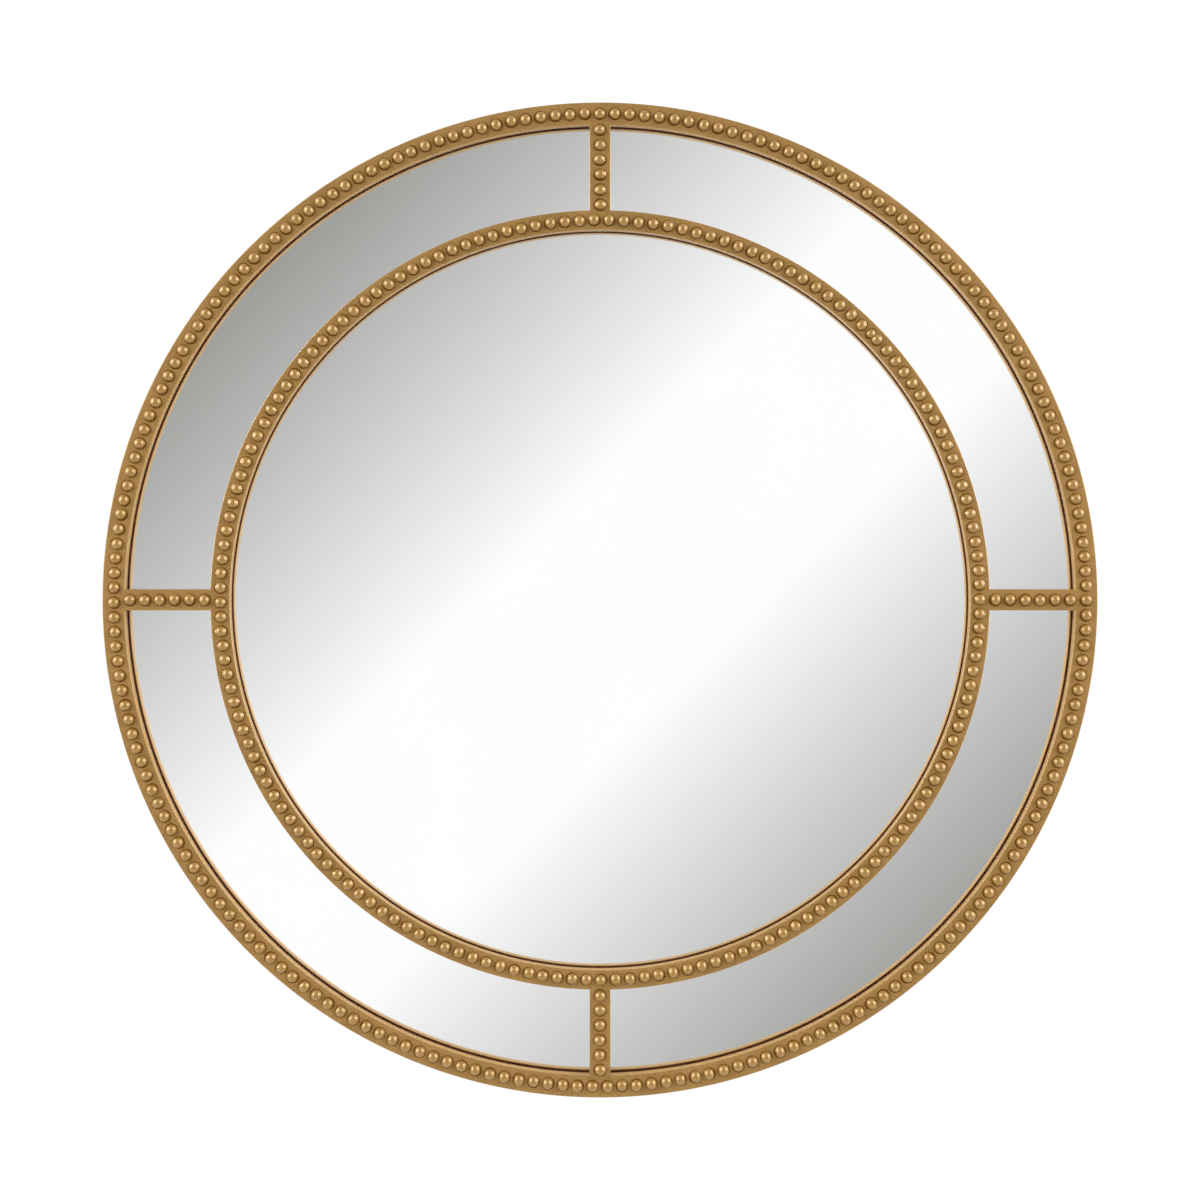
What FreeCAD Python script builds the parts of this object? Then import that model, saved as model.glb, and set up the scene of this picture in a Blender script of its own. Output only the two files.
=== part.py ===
import FreeCAD, Part
import os
import Sketcher

# A round wall mirror in five panes, framed by two beaded rings and four beaded spokes.
# It stands upright in the XZ plane and faces -Y. The origin is the centre of the wall plane,
# so a depth is measured from the wall towards the room, along -Y.

V = FreeCAD.Vector
ROUND = 360
HALF_TURN = 180
QUARTER_TURN = 90
SAME = 1e-6  # two places nearer than this are one

# Driving dimensions, in millimetres and degrees
DRIVING = [
    ("outer_ring_radius", 457.2, "outside of the outer ring"),
    ("outer_ring_width", 19.6, "front face of the outer ring"),
    ("band_width", 79.5, "quarter mirrors between the two rings"),
    ("inner_ring_width", 17.3, "front face of the inner ring"),
    ("spoke_width", 19.1, "front face of a spoke"),
    ("lip_height", 10, "frame above the glass"),
    ("lip_overlap", 4.5, "how far a lip covers the edge of a pane"),
    ("edge_round", 0.8, "rounding of the front edges"),
    ("joint_gap", 0.1, "spoke end to ring"),
    ("rim_wall", 6, "outer ring round the edge of the back panel"),
    ("rim_standoff", 5, "back edge of the outer ring to the wall"),
    ("panel_standoff", 8, "back face of the panel to the wall"),
    ("panel_thickness", 9, "fibreboard back panel"),
    ("panel_gap", 0.3, "edge of the panel to the rim"),
    ("glass_thickness", 4, "silvered glass"),
    ("glass_gap", 0.5, "edge of a pane to the web of the frame"),
    ("tape_thickness", 1, "foam tape under the panes"),
    ("tape_side", 50, "side of a square of foam tape"),
    ("centre_tape_inset", 120.8, "inner lip to the circle of tape squares behind the centre mirror"),
    ("centre_tape_count", 6, "tape squares on that circle"),
    ("quarter_tape_count", 12, "tape squares under the quarter mirrors"),
    ("quarter_tape_turn", 15, "direction of the first of them"),
    ("bead_radius", 5.6, "foot of a bead"),
    ("bead_height", 5.2, "bead above the front face"),
    ("bead_inset", 0.6, "bead circle inside the middle of a ring's face"),
    ("outer_bead_pitch", 13.56, "between the beads on the outer ring, about"),
    ("inner_bead_pitch", 13.32, "between the beads on the inner ring, about"),
    ("inner_seam_spacing", 7.6, "between the two crowded beads at the inner seam"),
    ("spoke_bead_pitch", 13.7, "between the beads on a spoke"),
    ("inner_seam_turn", 43.7, "direction of the inner seam, anticlockwise from the right"),
    ("outer_seam_turn", 270, "direction of the outer seam"),
    ("seam_gap", 0.3, "between the two ends of a strip"),
    ("ribbon_width", 3, "ribbon that carries the beads"),
    ("ribbon_thickness", 1, "the same ribbon"),
    ("ribbon_gap", 0.15, "ribbon to its channel, all round"),
    ("screw_radius", 1.5, "wood screws"),
    ("screw_length", 18, "panel screws, over all"),
    ("screw_point", 3, "length of the point"),
    ("screw_head_radius", 3.2, "both kinds of head"),
    ("screw_recess", 0.2, "panel screw head below the panel's face"),
    ("screw_gap", 0.1, "screw to its hole"),
    ("drive_length", 1.7, "half a slot of the cross in the head"),
    ("drive_width", 0.35, "half its width"),
    ("drive_depth", 1.1, "its depth"),
    ("outer_screw_count", 12, "screws into the outer ring"),
    ("outer_screw_turn", 15, "direction of the first"),
    ("inner_screw_count", 8, "screws into the inner ring"),
    ("inner_screw_turn", 22.5, "direction of the first"),
    ("spoke_screw_count", 4, "one screw into each spoke"),
    ("hanger_spacing", 406.4, "between the two hangers, the spacing of wall studs"),
    ("hanger_inset", 157.2, "hinge of the hangers below the top of the frame"),
    ("strap_width", 14, "hanger strap"),
    ("strap_thickness", 1.5, "the same strap"),
    ("strap_length", 50, "strap below the hinge"),
    ("strap_slit", 0.4, "where the rolled end meets the strap"),
    ("hinge_gap", 0.08, "wire to the barrel that holds it"),
    ("hanger_screw_count", 3, "screws in a strap"),
    ("hanger_screw_drop", 10, "first of them below the hinge"),
    ("hanger_screw_pitch", 16, "between them"),
    ("hanger_screw_length", 8.5, "under the head"),
    ("hanger_head_height", 2.1, "pan head"),
    ("wire_radius", 1.5, "wire of the D-ring"),
    ("loop_width", 23, "D-ring across, middle to middle of the wire"),
    ("loop_side", 8, "hinge to the middle of the D-ring's arc"),
    ("loop_corner", 3.4, "bend beside the hinge"),
    ("loop_clearance", 0.3, "D-ring at rest to the panel"),
    ("bumper_radius", 8, "bumper at the wall"),
    ("bumper_foot_radius", 10, "bumper at the panel"),
    ("bumper_inset", 25.9, "circle of the bumpers inside the edge of the panel"),
    ("bumper_count", 4, "wall bumpers"),
    ("bumper_turn", 45, "direction of the first"),
]

doc = FreeCAD.newDocument("beaded_wall_mirror")
sheet = doc.addObject("Spreadsheet::Sheet", "sizes")
for row, (alias, value, note) in enumerate(DRIVING, 1):
    sheet.set(f"A{row}", alias)
    sheet.set(f"B{row}", str(value))
    sheet.set(f"C{row}", note)
    sheet.setAlias(f"B{row}", alias)
doc.recompute()


def size(alias):
    """The expression that reads one cell of the sheet."""
    return f"sizes.{alias}"


# Depths from the wall, as expressions
PANEL_BACK = size("panel_standoff")
PANEL_FRONT = f"({PANEL_BACK} + {size('panel_thickness')})"
GLASS_BACK = f"({PANEL_FRONT} + {size('tape_thickness')})"
GLASS_FRONT = f"({GLASS_BACK} + {size('glass_thickness')})"
FRAME_FRONT = f"({GLASS_FRONT} + {size('lip_height')})"
CHANNEL_FLOOR = f"({FRAME_FRONT} - {size('ribbon_thickness')} - {size('ribbon_gap')})"
RIBBON_BACK = f"({FRAME_FRONT} - {size('ribbon_thickness')})"
BEAD_SPHERE = f"(({size('bead_radius')}^2 + {size('bead_height')}^2) / (2 * {size('bead_height')}))"
BEAD_TOP = f"({FRAME_FRONT} + {size('bead_height')})"
SCREW_TOP = f"({PANEL_BACK} + {size('screw_recess')})"
SCREW_NECK = f"({SCREW_TOP} + {size('screw_head_radius')} - {size('screw_radius')})"
SCREW_TIP = f"({SCREW_TOP} + {size('screw_length')})"

# Radii, as expressions
OUTER_LIP = f"({size('outer_ring_radius')} - {size('outer_ring_width')})"
OUTER_WEB = f"({OUTER_LIP} + {size('lip_overlap')})"
OUTER_RIM = f"({size('outer_ring_radius')} - {size('rim_wall')})"
PANEL_EDGE = f"({OUTER_RIM} - {size('panel_gap')})"
INNER_RING = f"({OUTER_LIP} - {size('band_width')})"
INNER_LIP = f"({INNER_RING} - {size('inner_ring_width')})"
INNER_WEB = f"({INNER_LIP} + {size('lip_overlap')})"
INNER_BACK = f"({INNER_RING} - {size('lip_overlap')})"
OUTER_BEADS = f"({size('outer_ring_radius')} - {size('outer_ring_width')} / 2 - {size('bead_inset')})"
INNER_BEADS = f"({INNER_RING} - {size('inner_ring_width')} / 2 - {size('bead_inset')})"
OUTER_SCREWS = f"(({OUTER_WEB} + {PANEL_EDGE}) / 2)"
INNER_SCREWS = f"(({INNER_WEB} + {INNER_BACK}) / 2)"
SPOKE_MIDDLE = f"(({INNER_RING} + {OUTER_LIP}) / 2)"
CENTRE_TAPES = f"({INNER_LIP} - {size('centre_tape_inset')})"
BUMPERS = f"({PANEL_EDGE} - {size('bumper_inset')})"
HANGER_RISE = f"({size('outer_ring_radius')} - {size('hanger_inset')})"

# Beads on each strip, as expressions
OUTER_BEAD_COUNT = f"round(2 * pi * {OUTER_BEADS} / {size('outer_bead_pitch')})"
INNER_STRIP = f"(2 * pi * {INNER_BEADS} - {size('inner_seam_spacing')})"
INNER_BEAD_COUNT = f"(round({INNER_STRIP} / {size('inner_bead_pitch')}) + 1)"
SPOKE_BEAD_COUNT = f"round({size('band_width')} / {size('spoke_bead_pitch')})"

# The hinge of a hanger, as expressions
BARREL_BORE = f"({size('wire_radius')} + {size('hinge_gap')})"
BARREL_RADIUS = f"({BARREL_BORE} + {size('strap_thickness')})"
HINGE_DEPTH = f"({PANEL_BACK} - {BARREL_RADIUS})"


def bind(item, **expressions):
    """Binds properties of a document object to expressions on the sheet."""
    for prop, expression in expressions.items():
        item.setExpression(prop.replace("__", "."), expression)
    return item


def new_body(label):
    body = doc.addObject("PartDesign::Body", label)
    body.Label = label
    body.AllowCompound = True
    return body


def attach(item, body, role, depth=None, turn=None):
    """Attaches a sketch or a primitive to an origin plane of its own body.

    depth moves it along the plane's normal. turn rotates it round the mirror's axis.
    """
    plane = next(feature for feature in body.Origin.OriginFeatures if feature.Role == role)
    item.AttachmentSupport = [(plane, "")]
    item.MapMode = "FlatFace"
    if turn is not None:
        item.AttachmentOffset = FreeCAD.Placement(V(), FreeCAD.Rotation(V(0, 1, 0), 1))
        item.setExpression("AttachmentOffset.Rotation.Angle", turn)
    if depth is not None:
        item.setExpression("AttachmentOffset.Base.z", depth)
    return item


def outline(body, name, role, points, depth=None, turn=None, axis=None):
    """A closed polygon whose corners are held by expressions.

    axis is the place of a line parallel to the sketch's vertical axis, for pieces turned about it.
    """
    sketch = attach(body.newObject("Sketcher::SketchObject", name), body, role, depth, turn)
    start = Part.makeCircle(1).discretize(Number=len(points) + 1)
    for first, second in zip(start, start[1:]):
        sketch.addGeometry(Part.LineSegment(first, second), False)
    for index, (across, along) in enumerate(points):
        following = (index + 1) % len(points)
        sketch.addConstraint(Sketcher.Constraint("Coincident", index, 2, following, 1))
        for kind, expression in (("DistanceX", across), ("DistanceY", along)):
            held = sketch.addConstraint(Sketcher.Constraint(kind, -1, 1, index, 1, 1))
            sketch.setExpression(f"Constraints[{held}]", expression)
    if axis is not None:
        line = sketch.addGeometry(Part.LineSegment(V(0, 0, 0), V(0, 1, 0)), True)
        for end, along in ((1, "0"), (2, FRAME_FRONT)):
            for kind, expression in (("DistanceX", axis), ("DistanceY", along)):
                held = sketch.addConstraint(Sketcher.Constraint(kind, -1, 1, line, end, 1))
                sketch.setExpression(f"Constraints[{held}]", expression)
    return sketch


def section(body, name, corners, turn=None, axis=None):
    """A half section through the mirror's axis, its corners as (radius, depth)."""
    return outline(body, name, "XY_Plane", [(r, f"-{d}") for r, d in corners], turn=turn, axis=axis)


def revolve(body, kind, name, sketch, own_axis=False):
    """Turns a section about the mirror's axis, or about the sketch's own line."""
    feature = body.newObject(f"PartDesign::{kind}", name)
    feature.Profile = sketch
    feature.ReferenceAxis = (sketch, ["Axis0" if own_axis else "V_Axis"])
    feature.Angle = ROUND
    return feature


def extrude(body, kind, name, sketch, length, back=False):
    feature = body.newObject(f"PartDesign::{kind}", name)
    feature.Profile = sketch
    feature.Reversed = back
    return bind(feature, Length=length)


def polar(body, name, features, sketch, count, axis="V_Axis", span=None):
    """Repeats features round the mirror's axis."""
    pattern = body.newObject("PartDesign::PolarPattern", name)
    pattern.Originals = features
    pattern.Axis = (sketch, [axis])
    pattern.Angle = ROUND
    bind(pattern, Occurrences=count)
    if span is not None:
        bind(pattern, Angle=span)
    body.Tip = pattern
    return pattern


def linear(body, name, features, sketch, count, length, axis="H_Axis"):
    """Repeats features along a straight line."""
    pattern = body.newObject("PartDesign::LinearPattern", name)
    pattern.Originals = features
    pattern.Direction = (sketch, [axis])
    bind(pattern, Occurrences=count, Length=length)
    body.Tip = pattern
    return pattern


def rounded(body, base, wanted):
    """Rounds the edges of base that wanted picks, by the sheet's edge_round."""
    doc.recompute()
    names = [f"Edge{n}" for n, edge in enumerate(base.Shape.Edges, 1) if wanted(edge)]
    fillet = body.newObject("PartDesign::Fillet", "rounded_edges")
    fillet.Base = (base, names)
    bind(fillet, Radius=size("edge_round"))
    body.Tip = fillet
    return fillet


def front_circles(base):
    """Picks the outermost and innermost circles of a ring's front face."""
    doc.recompute()
    circles = [edge.Curve for edge in base.Shape.Edges if isinstance(edge.Curve, Part.Circle)]
    front = min(circle.Center.y for circle in circles)
    radii = [circle.Radius for circle in circles if abs(circle.Center.y - front) < SAME]
    ends = (min(radii), max(radii))
    return lambda edge: (
        isinstance(edge.Curve, Part.Circle)
        and abs(edge.Curve.Center.y - front) < SAME
        and min(abs(edge.Curve.Radius - radius) for radius in ends) < SAME
    )


def front_sides(base):
    """Picks the two long edges of a spoke's front face."""
    doc.recompute()
    corners = [vertex.Point for vertex in base.Shape.Vertexes]
    front = min(point.y for point in corners)
    side = max(point.z for point in corners)
    return lambda edge: all(
        abs(vertex.Point.y - front) < SAME and abs(abs(vertex.Point.z) - side) < SAME
        for vertex in edge.Vertexes
    )


# The frame
def pilot_hole(body, place, turn=None):
    """A blind hole for a panel screw, from the back of the frame."""
    radius = f"({place} + {size('screw_radius')} + {size('screw_gap')})"
    floor = f"({SCREW_TIP} + {size('screw_gap')})"
    corners = [(place, PANEL_FRONT), (radius, PANEL_FRONT), (radius, floor), (place, floor)]
    hole = section(body, "pilot_section", corners, turn=turn, axis=place)
    return hole, revolve(body, "Groove", "pilot", hole, own_axis=True)


def pilot_holes(body, place, count, turn):
    hole, cut = pilot_hole(body, place, turn)
    return polar(body, "pilots", [cut], hole, count)


def channel(place):
    """The corners of the ribbon's channel in a front face, from outside to inside."""
    half = f"({size('ribbon_width')} / 2 + {size('ribbon_gap')})"
    outside = f"({place} + {half})"
    inside = f"({place} - {half})"
    return [
        (outside, FRAME_FRONT),
        (outside, CHANNEL_FLOOR),
        (inside, CHANNEL_FLOOR),
        (inside, FRAME_FRONT),
    ]


def outer_ring():
    """Rebated behind its lip for the panes, and behind its rim for the back panel."""
    body = new_body("outer_ring")
    corners = [
        (size("outer_ring_radius"), size("rim_standoff")),
        (size("outer_ring_radius"), FRAME_FRONT),
        *channel(OUTER_BEADS),
        (OUTER_LIP, FRAME_FRONT),
        (OUTER_LIP, GLASS_FRONT),
        (OUTER_WEB, GLASS_FRONT),
        (OUTER_WEB, PANEL_FRONT),
        (OUTER_RIM, PANEL_FRONT),
        (OUTER_RIM, size("rim_standoff")),
    ]
    revolve(body, "Revolution", "ring", section(body, "ring_section", corners))
    holes = pilot_holes(body, OUTER_SCREWS, size("outer_screw_count"), size("outer_screw_turn"))
    rounded(body, holes, front_circles(holes))
    return body


def inner_ring():
    """Rebated on both sides, over the centre mirror and over the quarter mirrors."""
    body = new_body("inner_ring")
    corners = [
        (INNER_RING, FRAME_FRONT),
        *channel(INNER_BEADS),
        (INNER_LIP, FRAME_FRONT),
        (INNER_LIP, GLASS_FRONT),
        (INNER_WEB, GLASS_FRONT),
        (INNER_WEB, PANEL_FRONT),
        (INNER_BACK, PANEL_FRONT),
        (INNER_BACK, GLASS_FRONT),
        (INNER_RING, GLASS_FRONT),
    ]
    revolve(body, "Revolution", "ring", section(body, "ring_section", corners))
    holes = pilot_holes(body, INNER_SCREWS, size("inner_screw_count"), size("inner_screw_turn"))
    rounded(body, holes, front_circles(holes))
    return body


def bar_outline(body, name, width, depth):
    """A rectangle across both rings, later cut back to them."""
    half = f"({width} / 2)"
    reach = size("outer_ring_radius")
    points = [
        (INNER_LIP, f"-{half}"),
        (reach, f"-{half}"),
        (reach, half),
        (INNER_LIP, half),
    ]
    return outline(body, name, "XZ_Plane", points, depth=depth)


def spoke(side, turn):
    """A bar over the panes on a narrower web, whose tongues reach under the lips of both rings."""
    body = new_body(f"spoke_{side}")
    web_width = f"({size('spoke_width')} - 2 * {size('lip_overlap')})"
    web = bar_outline(body, "web_outline", web_width, PANEL_FRONT)
    extrude(body, "Pad", "web", web, f"({GLASS_FRONT} - {PANEL_FRONT})")
    bar = bar_outline(body, "bar_outline", size("spoke_width"), GLASS_FRONT)
    extrude(body, "Pad", "bar", bar, size("lip_height"))
    inner_tongue = f"({INNER_BACK} + {size('joint_gap')})"
    inner_end = f"({INNER_RING} + {size('joint_gap')})"
    outer_tongue = f"({OUTER_WEB} - {size('joint_gap')})"
    outer_end = f"({OUTER_LIP} - {size('joint_gap')})"
    past = f"({size('outer_ring_radius')} + {size('spoke_width')})"
    inner_cut = [
        ("0", PANEL_FRONT),
        (inner_tongue, PANEL_FRONT),
        (inner_tongue, GLASS_FRONT),
        (inner_end, GLASS_FRONT),
        (inner_end, FRAME_FRONT),
        ("0", FRAME_FRONT),
    ]
    outer_cut = [
        (past, PANEL_FRONT),
        (outer_tongue, PANEL_FRONT),
        (outer_tongue, GLASS_FRONT),
        (outer_end, GLASS_FRONT),
        (outer_end, FRAME_FRONT),
        (past, FRAME_FRONT),
    ]
    revolve(body, "Groove", "inner_end", section(body, "inner_end_section", inner_cut))
    revolve(body, "Groove", "outer_end", section(body, "outer_end_section", outer_cut))
    slot_width = f"({size('ribbon_width')} + 2 * {size('ribbon_gap')})"
    slot = bar_outline(body, "channel_outline", slot_width, FRAME_FRONT)
    extrude(body, "Pocket", "channel", slot, f"({FRAME_FRONT} - {CHANNEL_FLOOR})")
    pilot = pilot_hole(body, SPOKE_MIDDLE)[1]
    rounded(body, pilot, front_sides(pilot))
    body.Placement = FreeCAD.Placement(V(), FreeCAD.Rotation(V(0, 1, 0), -turn))
    return body


# The beads
def bead(body, place):
    """A cap of a sphere on the front face, its foot and height from the sheet."""
    cap = attach(body.newObject("PartDesign::AdditiveSphere", "bead"), body, "XZ_Plane")
    bind(cap, Radius=BEAD_SPHERE)
    bind(cap, Angle1=f"asin(1 - {size('bead_height')} / {BEAD_SPHERE})")
    cap.setExpression("AttachmentOffset.Base.x", place)
    cap.setExpression("AttachmentOffset.Base.z", f"({BEAD_TOP} - {BEAD_SPHERE})")
    return cap


def bead_ring(label, place, count, seam_turn, seam_spacing=None):
    """Beads on a ribbon bent round a ring and cut at its seam.

    The strip starts half a spacing before its first bead, which stands on the X axis before the
    strip is turned to its seam. seam_spacing is between the last bead and the first, where the
    ends of the strip crowd them.
    """
    body = new_body(label)
    half = f"({size('ribbon_width')} / 2)"
    corners = [
        (f"({place} - {half})", RIBBON_BACK),
        (f"({place} + {half})", RIBBON_BACK),
        (f"({place} + {half})", FRAME_FRONT),
        (f"({place} - {half})", FRAME_FRONT),
    ]
    ribbon = section(body, "ribbon_section", corners)
    revolve(body, "Revolution", "ribbon", ribbon)
    cap = bead(body, place)
    if seam_spacing is None:
        half_spacing = f"({HALF_TURN} / {count})"
        polar(body, "beads", [cap], ribbon, count)
    else:
        half_spacing = f"({seam_spacing} / {place} * {QUARTER_TURN} / pi)"
        polar(body, "beads", [cap], ribbon, count, span=f"({ROUND} - 2 * {half_spacing})")
    reach = f"(2 * {size('bead_radius')})"
    knife = [
        (f"({place} - {reach})", f"({RIBBON_BACK} - {size('ribbon_thickness')})"),
        (f"({place} + {reach})", f"({RIBBON_BACK} - {size('ribbon_thickness')})"),
        (f"({place} + {reach})", f"({BEAD_TOP} + {size('ribbon_thickness')})"),
        (f"({place} - {reach})", f"({BEAD_TOP} + {size('ribbon_thickness')})"),
    ]
    seam = section(body, "seam_section", knife, turn=f"(-{half_spacing})")
    cut = extrude(body, "Pocket", "seam", seam, size("seam_gap"))
    cut.Midplane = True
    body.Tip = cut
    body.Placement = FreeCAD.Placement(V(), FreeCAD.Rotation(V(0, 1, 0), 1))
    body.setExpression("Placement.Rotation.Angle", f"{half_spacing} - {seam_turn}")
    return body


def spoke_beads(side, turn):
    """A short straight strip between the two rings."""
    body = new_body(f"spoke_beads_{side}")
    half = f"({size('ribbon_width')} / 2)"
    inner_end = f"({INNER_RING} + {size('joint_gap')} + {size('ribbon_gap')})"
    outer_end = f"({OUTER_LIP} - {size('joint_gap')} - {size('ribbon_gap')} - {size('edge_round')})"
    points = [
        (inner_end, f"-{half}"),
        (outer_end, f"-{half}"),
        (outer_end, half),
        (inner_end, half),
    ]
    ribbon = outline(body, "ribbon_outline", "XZ_Plane", points, depth=RIBBON_BACK)
    extrude(body, "Pad", "ribbon", ribbon, size("ribbon_thickness"))
    row = f"({size('spoke_bead_pitch')} * ({SPOKE_BEAD_COUNT} - 1))"
    cap = bead(body, f"({SPOKE_MIDDLE} - {row} / 2)")
    linear(body, "beads", [cap], ribbon, SPOKE_BEAD_COUNT, row)
    body.Placement = FreeCAD.Placement(V(), FreeCAD.Rotation(V(0, 1, 0), -turn))
    return body


# The panes and what lies behind them
def centre_mirror():
    body = new_body("centre_mirror")
    edge = f"({INNER_WEB} - {size('glass_gap')})"
    corners = [("0", GLASS_BACK), (edge, GLASS_BACK), (edge, GLASS_FRONT), ("0", GLASS_FRONT)]
    revolve(body, "Revolution", "pane", section(body, "pane_section", corners))
    return body


def quarter_mirror(name, turn):
    """A quarter of a ring of glass, cut back along the webs of its two spokes."""
    label = f"quarter_mirror_{name}"
    beside_web = f"({size('spoke_width')} / 2 - {size('lip_overlap')} + {size('glass_gap')})"
    outside = doc.addObject("Part::Cylinder", f"{label}_outside")
    bind(outside, Radius=f"({OUTER_WEB} - {size('glass_gap')})", Height=size("glass_thickness"))
    inside = doc.addObject("Part::Cylinder", f"{label}_inside")
    bind(inside, Radius=f"({INNER_BACK} + {size('glass_gap')})", Height=size("glass_thickness"))
    band = doc.addObject("Part::Cut", f"{label}_band")
    band.Base = outside
    band.Tool = inside
    corner = doc.addObject("Part::Box", f"{label}_corner")
    reach = size("outer_ring_radius")
    bind(corner, Length=reach, Width=reach, Height=size("glass_thickness"))
    bind(corner, Placement__Base__x=beside_web, Placement__Base__y=beside_web)
    pane = doc.addObject("Part::Common", label)
    pane.Label = label
    pane.Base = band
    pane.Tool = corner
    upright = FreeCAD.Rotation(V(1, 0, 0), QUARTER_TURN)
    pane.Placement = FreeCAD.Placement(V(), upright * FreeCAD.Rotation(V(0, 0, 1), turn))
    bind(pane, Placement__Base__y=f"-{GLASS_BACK}")
    return pane


def countersunk_holes(body, name, place, count, turn):
    """Through holes in the panel, open to the back, for one circle of screws."""
    mouth = f"({place} + {size('screw_head_radius')} + {size('screw_gap')} + {size('screw_recess')})"
    hole = f"({place} + {size('screw_radius')} + {size('screw_gap')})"
    corners = [
        (place, PANEL_BACK),
        (mouth, PANEL_BACK),
        (hole, SCREW_NECK),
        (hole, PANEL_FRONT),
        (place, PANEL_FRONT),
    ]
    sketch = section(body, f"{name}_section", corners, turn=turn, axis=place)
    cut = revolve(body, "Groove", f"{name}_hole", sketch, own_axis=True)
    return polar(body, f"{name}_holes", [cut], sketch, count)


def hanger_screw_holes(body, side):
    """Pilot holes of one hanger, in a column below its hinge."""
    across = f"({side} * {size('hanger_spacing')} / 2)"
    top = f"({HANGER_RISE} - {size('hanger_screw_drop')})"
    name = "left" if side < 0 else "right"
    sketch = attach(body.newObject("Sketcher::SketchObject", f"{name}_hanger_hole"), body, "XZ_Plane")
    sketch.setExpression("AttachmentOffset.Base.z", PANEL_BACK)
    circle = sketch.addGeometry(Part.Circle(V(side, 1, 0), V(0, 0, 1), 1), False)
    held = [
        ("DistanceX", across, (-1, 1, circle, 3, 1)),
        ("DistanceY", top, (-1, 1, circle, 3, 1)),
        ("Radius", f"({size('screw_radius')} + {size('screw_gap')})", (circle, 1)),
    ]
    for kind, expression, places in held:
        index = sketch.addConstraint(Sketcher.Constraint(kind, *places))
        sketch.setExpression(f"Constraints[{index}]", expression)
    deep = f"({size('hanger_screw_length')} - {size('strap_thickness')} + {size('screw_gap')})"
    cut = extrude(body, "Pocket", f"{name}_hanger_pilot", sketch, deep, back=True)
    drop = f"({size('hanger_screw_pitch')} * ({size('hanger_screw_count')} - 1))"
    column = linear(
        body,
        f"{name}_hanger_pilots",
        [cut],
        sketch,
        size("hanger_screw_count"),
        drop,
        axis="V_Axis",
    )
    column.Reversed = True
    return column


def back_panel():
    """A fibreboard disc that carries the panes and takes all screws."""
    body = new_body("back_panel")
    corners = [
        ("0", PANEL_BACK),
        (PANEL_EDGE, PANEL_BACK),
        (PANEL_EDGE, PANEL_FRONT),
        ("0", PANEL_FRONT),
    ]
    revolve(body, "Revolution", "disc", section(body, "disc_section", corners))
    countersunk_holes(body, "outer", OUTER_SCREWS, size("outer_screw_count"), size("outer_screw_turn"))
    countersunk_holes(body, "inner", INNER_SCREWS, size("inner_screw_count"), size("inner_screw_turn"))
    countersunk_holes(body, "spoke", SPOKE_MIDDLE, size("spoke_screw_count"), "0")
    hanger_screw_holes(body, -1)
    hanger_screw_holes(body, 1)
    return body


def tape_square(body, name, place, turn=None):
    half = f"({size('tape_side')} / 2)"
    points = [
        (f"({place} - {half})", f"-{half}"),
        (f"({place} + {half})", f"-{half}"),
        (f"({place} + {half})", half),
        (f"({place} - {half})", half),
    ]
    sketch = outline(body, f"{name}_outline", "XZ_Plane", points, depth=PANEL_FRONT)
    return sketch, extrude(body, "Pad", name, sketch, size("tape_thickness"))


def centre_mirror_pads():
    """One square in the middle and a circle of them."""
    body = new_body("centre_mirror_pads")
    tape_square(body, "middle_square", "0")
    sketch, square = tape_square(body, "square", CENTRE_TAPES)
    polar(body, "squares", [square], sketch, size("centre_tape_count"), axis="N_Axis")
    return body


def quarter_mirror_pads():
    body = new_body("quarter_mirror_pads")
    sketch, square = tape_square(body, "square", SPOKE_MIDDLE)
    polar(body, "squares", [square], sketch, size("quarter_tape_count"), axis="N_Axis")
    body.Placement = FreeCAD.Placement(V(), FreeCAD.Rotation(V(0, 1, 0), 1))
    bind(body, Placement__Rotation__Angle=f"-{size('quarter_tape_turn')}")
    return body


# The screws
def cross(body, across, along, depth):
    """The cross for the screwdriver, cut from the head's top."""
    reach = size("drive_length")
    half = size("drive_width")
    steps = [
        (reach, f"-{half}"),
        (reach, half),
        (half, half),
        (half, reach),
        (f"-{half}", reach),
        (f"-{half}", half),
        (f"-{reach}", half),
        (f"-{reach}", f"-{half}"),
        (f"-{half}", f"-{half}"),
        (f"-{half}", f"-{reach}"),
        (half, f"-{reach}"),
        (half, f"-{half}"),
    ]
    points = [(f"({across} + ({x}))", f"({along} + ({z}))") for x, z in steps]
    sketch = outline(body, "cross_outline", "XZ_Plane", points, depth=depth)
    return extrude(body, "Pocket", "cross", sketch, size("drive_depth"), back=True)


def panel_screws(label, place, count, turn):
    """Countersunk screws on one circle, heads to the back, each a separate solid."""
    body = new_body(label)
    head = f"({place} + {size('screw_head_radius')})"
    shank = f"({place} + {size('screw_radius')})"
    corners = [
        (place, SCREW_TOP),
        (head, SCREW_TOP),
        (shank, SCREW_NECK),
        (shank, f"({SCREW_TIP} - {size('screw_point')})"),
        (place, SCREW_TIP),
    ]
    half = section(body, "screw_section", corners, axis=place)
    screw = revolve(body, "Revolution", "screw", half, own_axis=True)
    recess = cross(body, place, "0", SCREW_TOP)
    polar(body, "screws", [screw, recess], half, count)
    body.Placement = FreeCAD.Placement(V(), FreeCAD.Rotation(V(0, 1, 0), 1))
    bind(body, Placement__Rotation__Angle=f"-{turn}")
    return body


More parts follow.
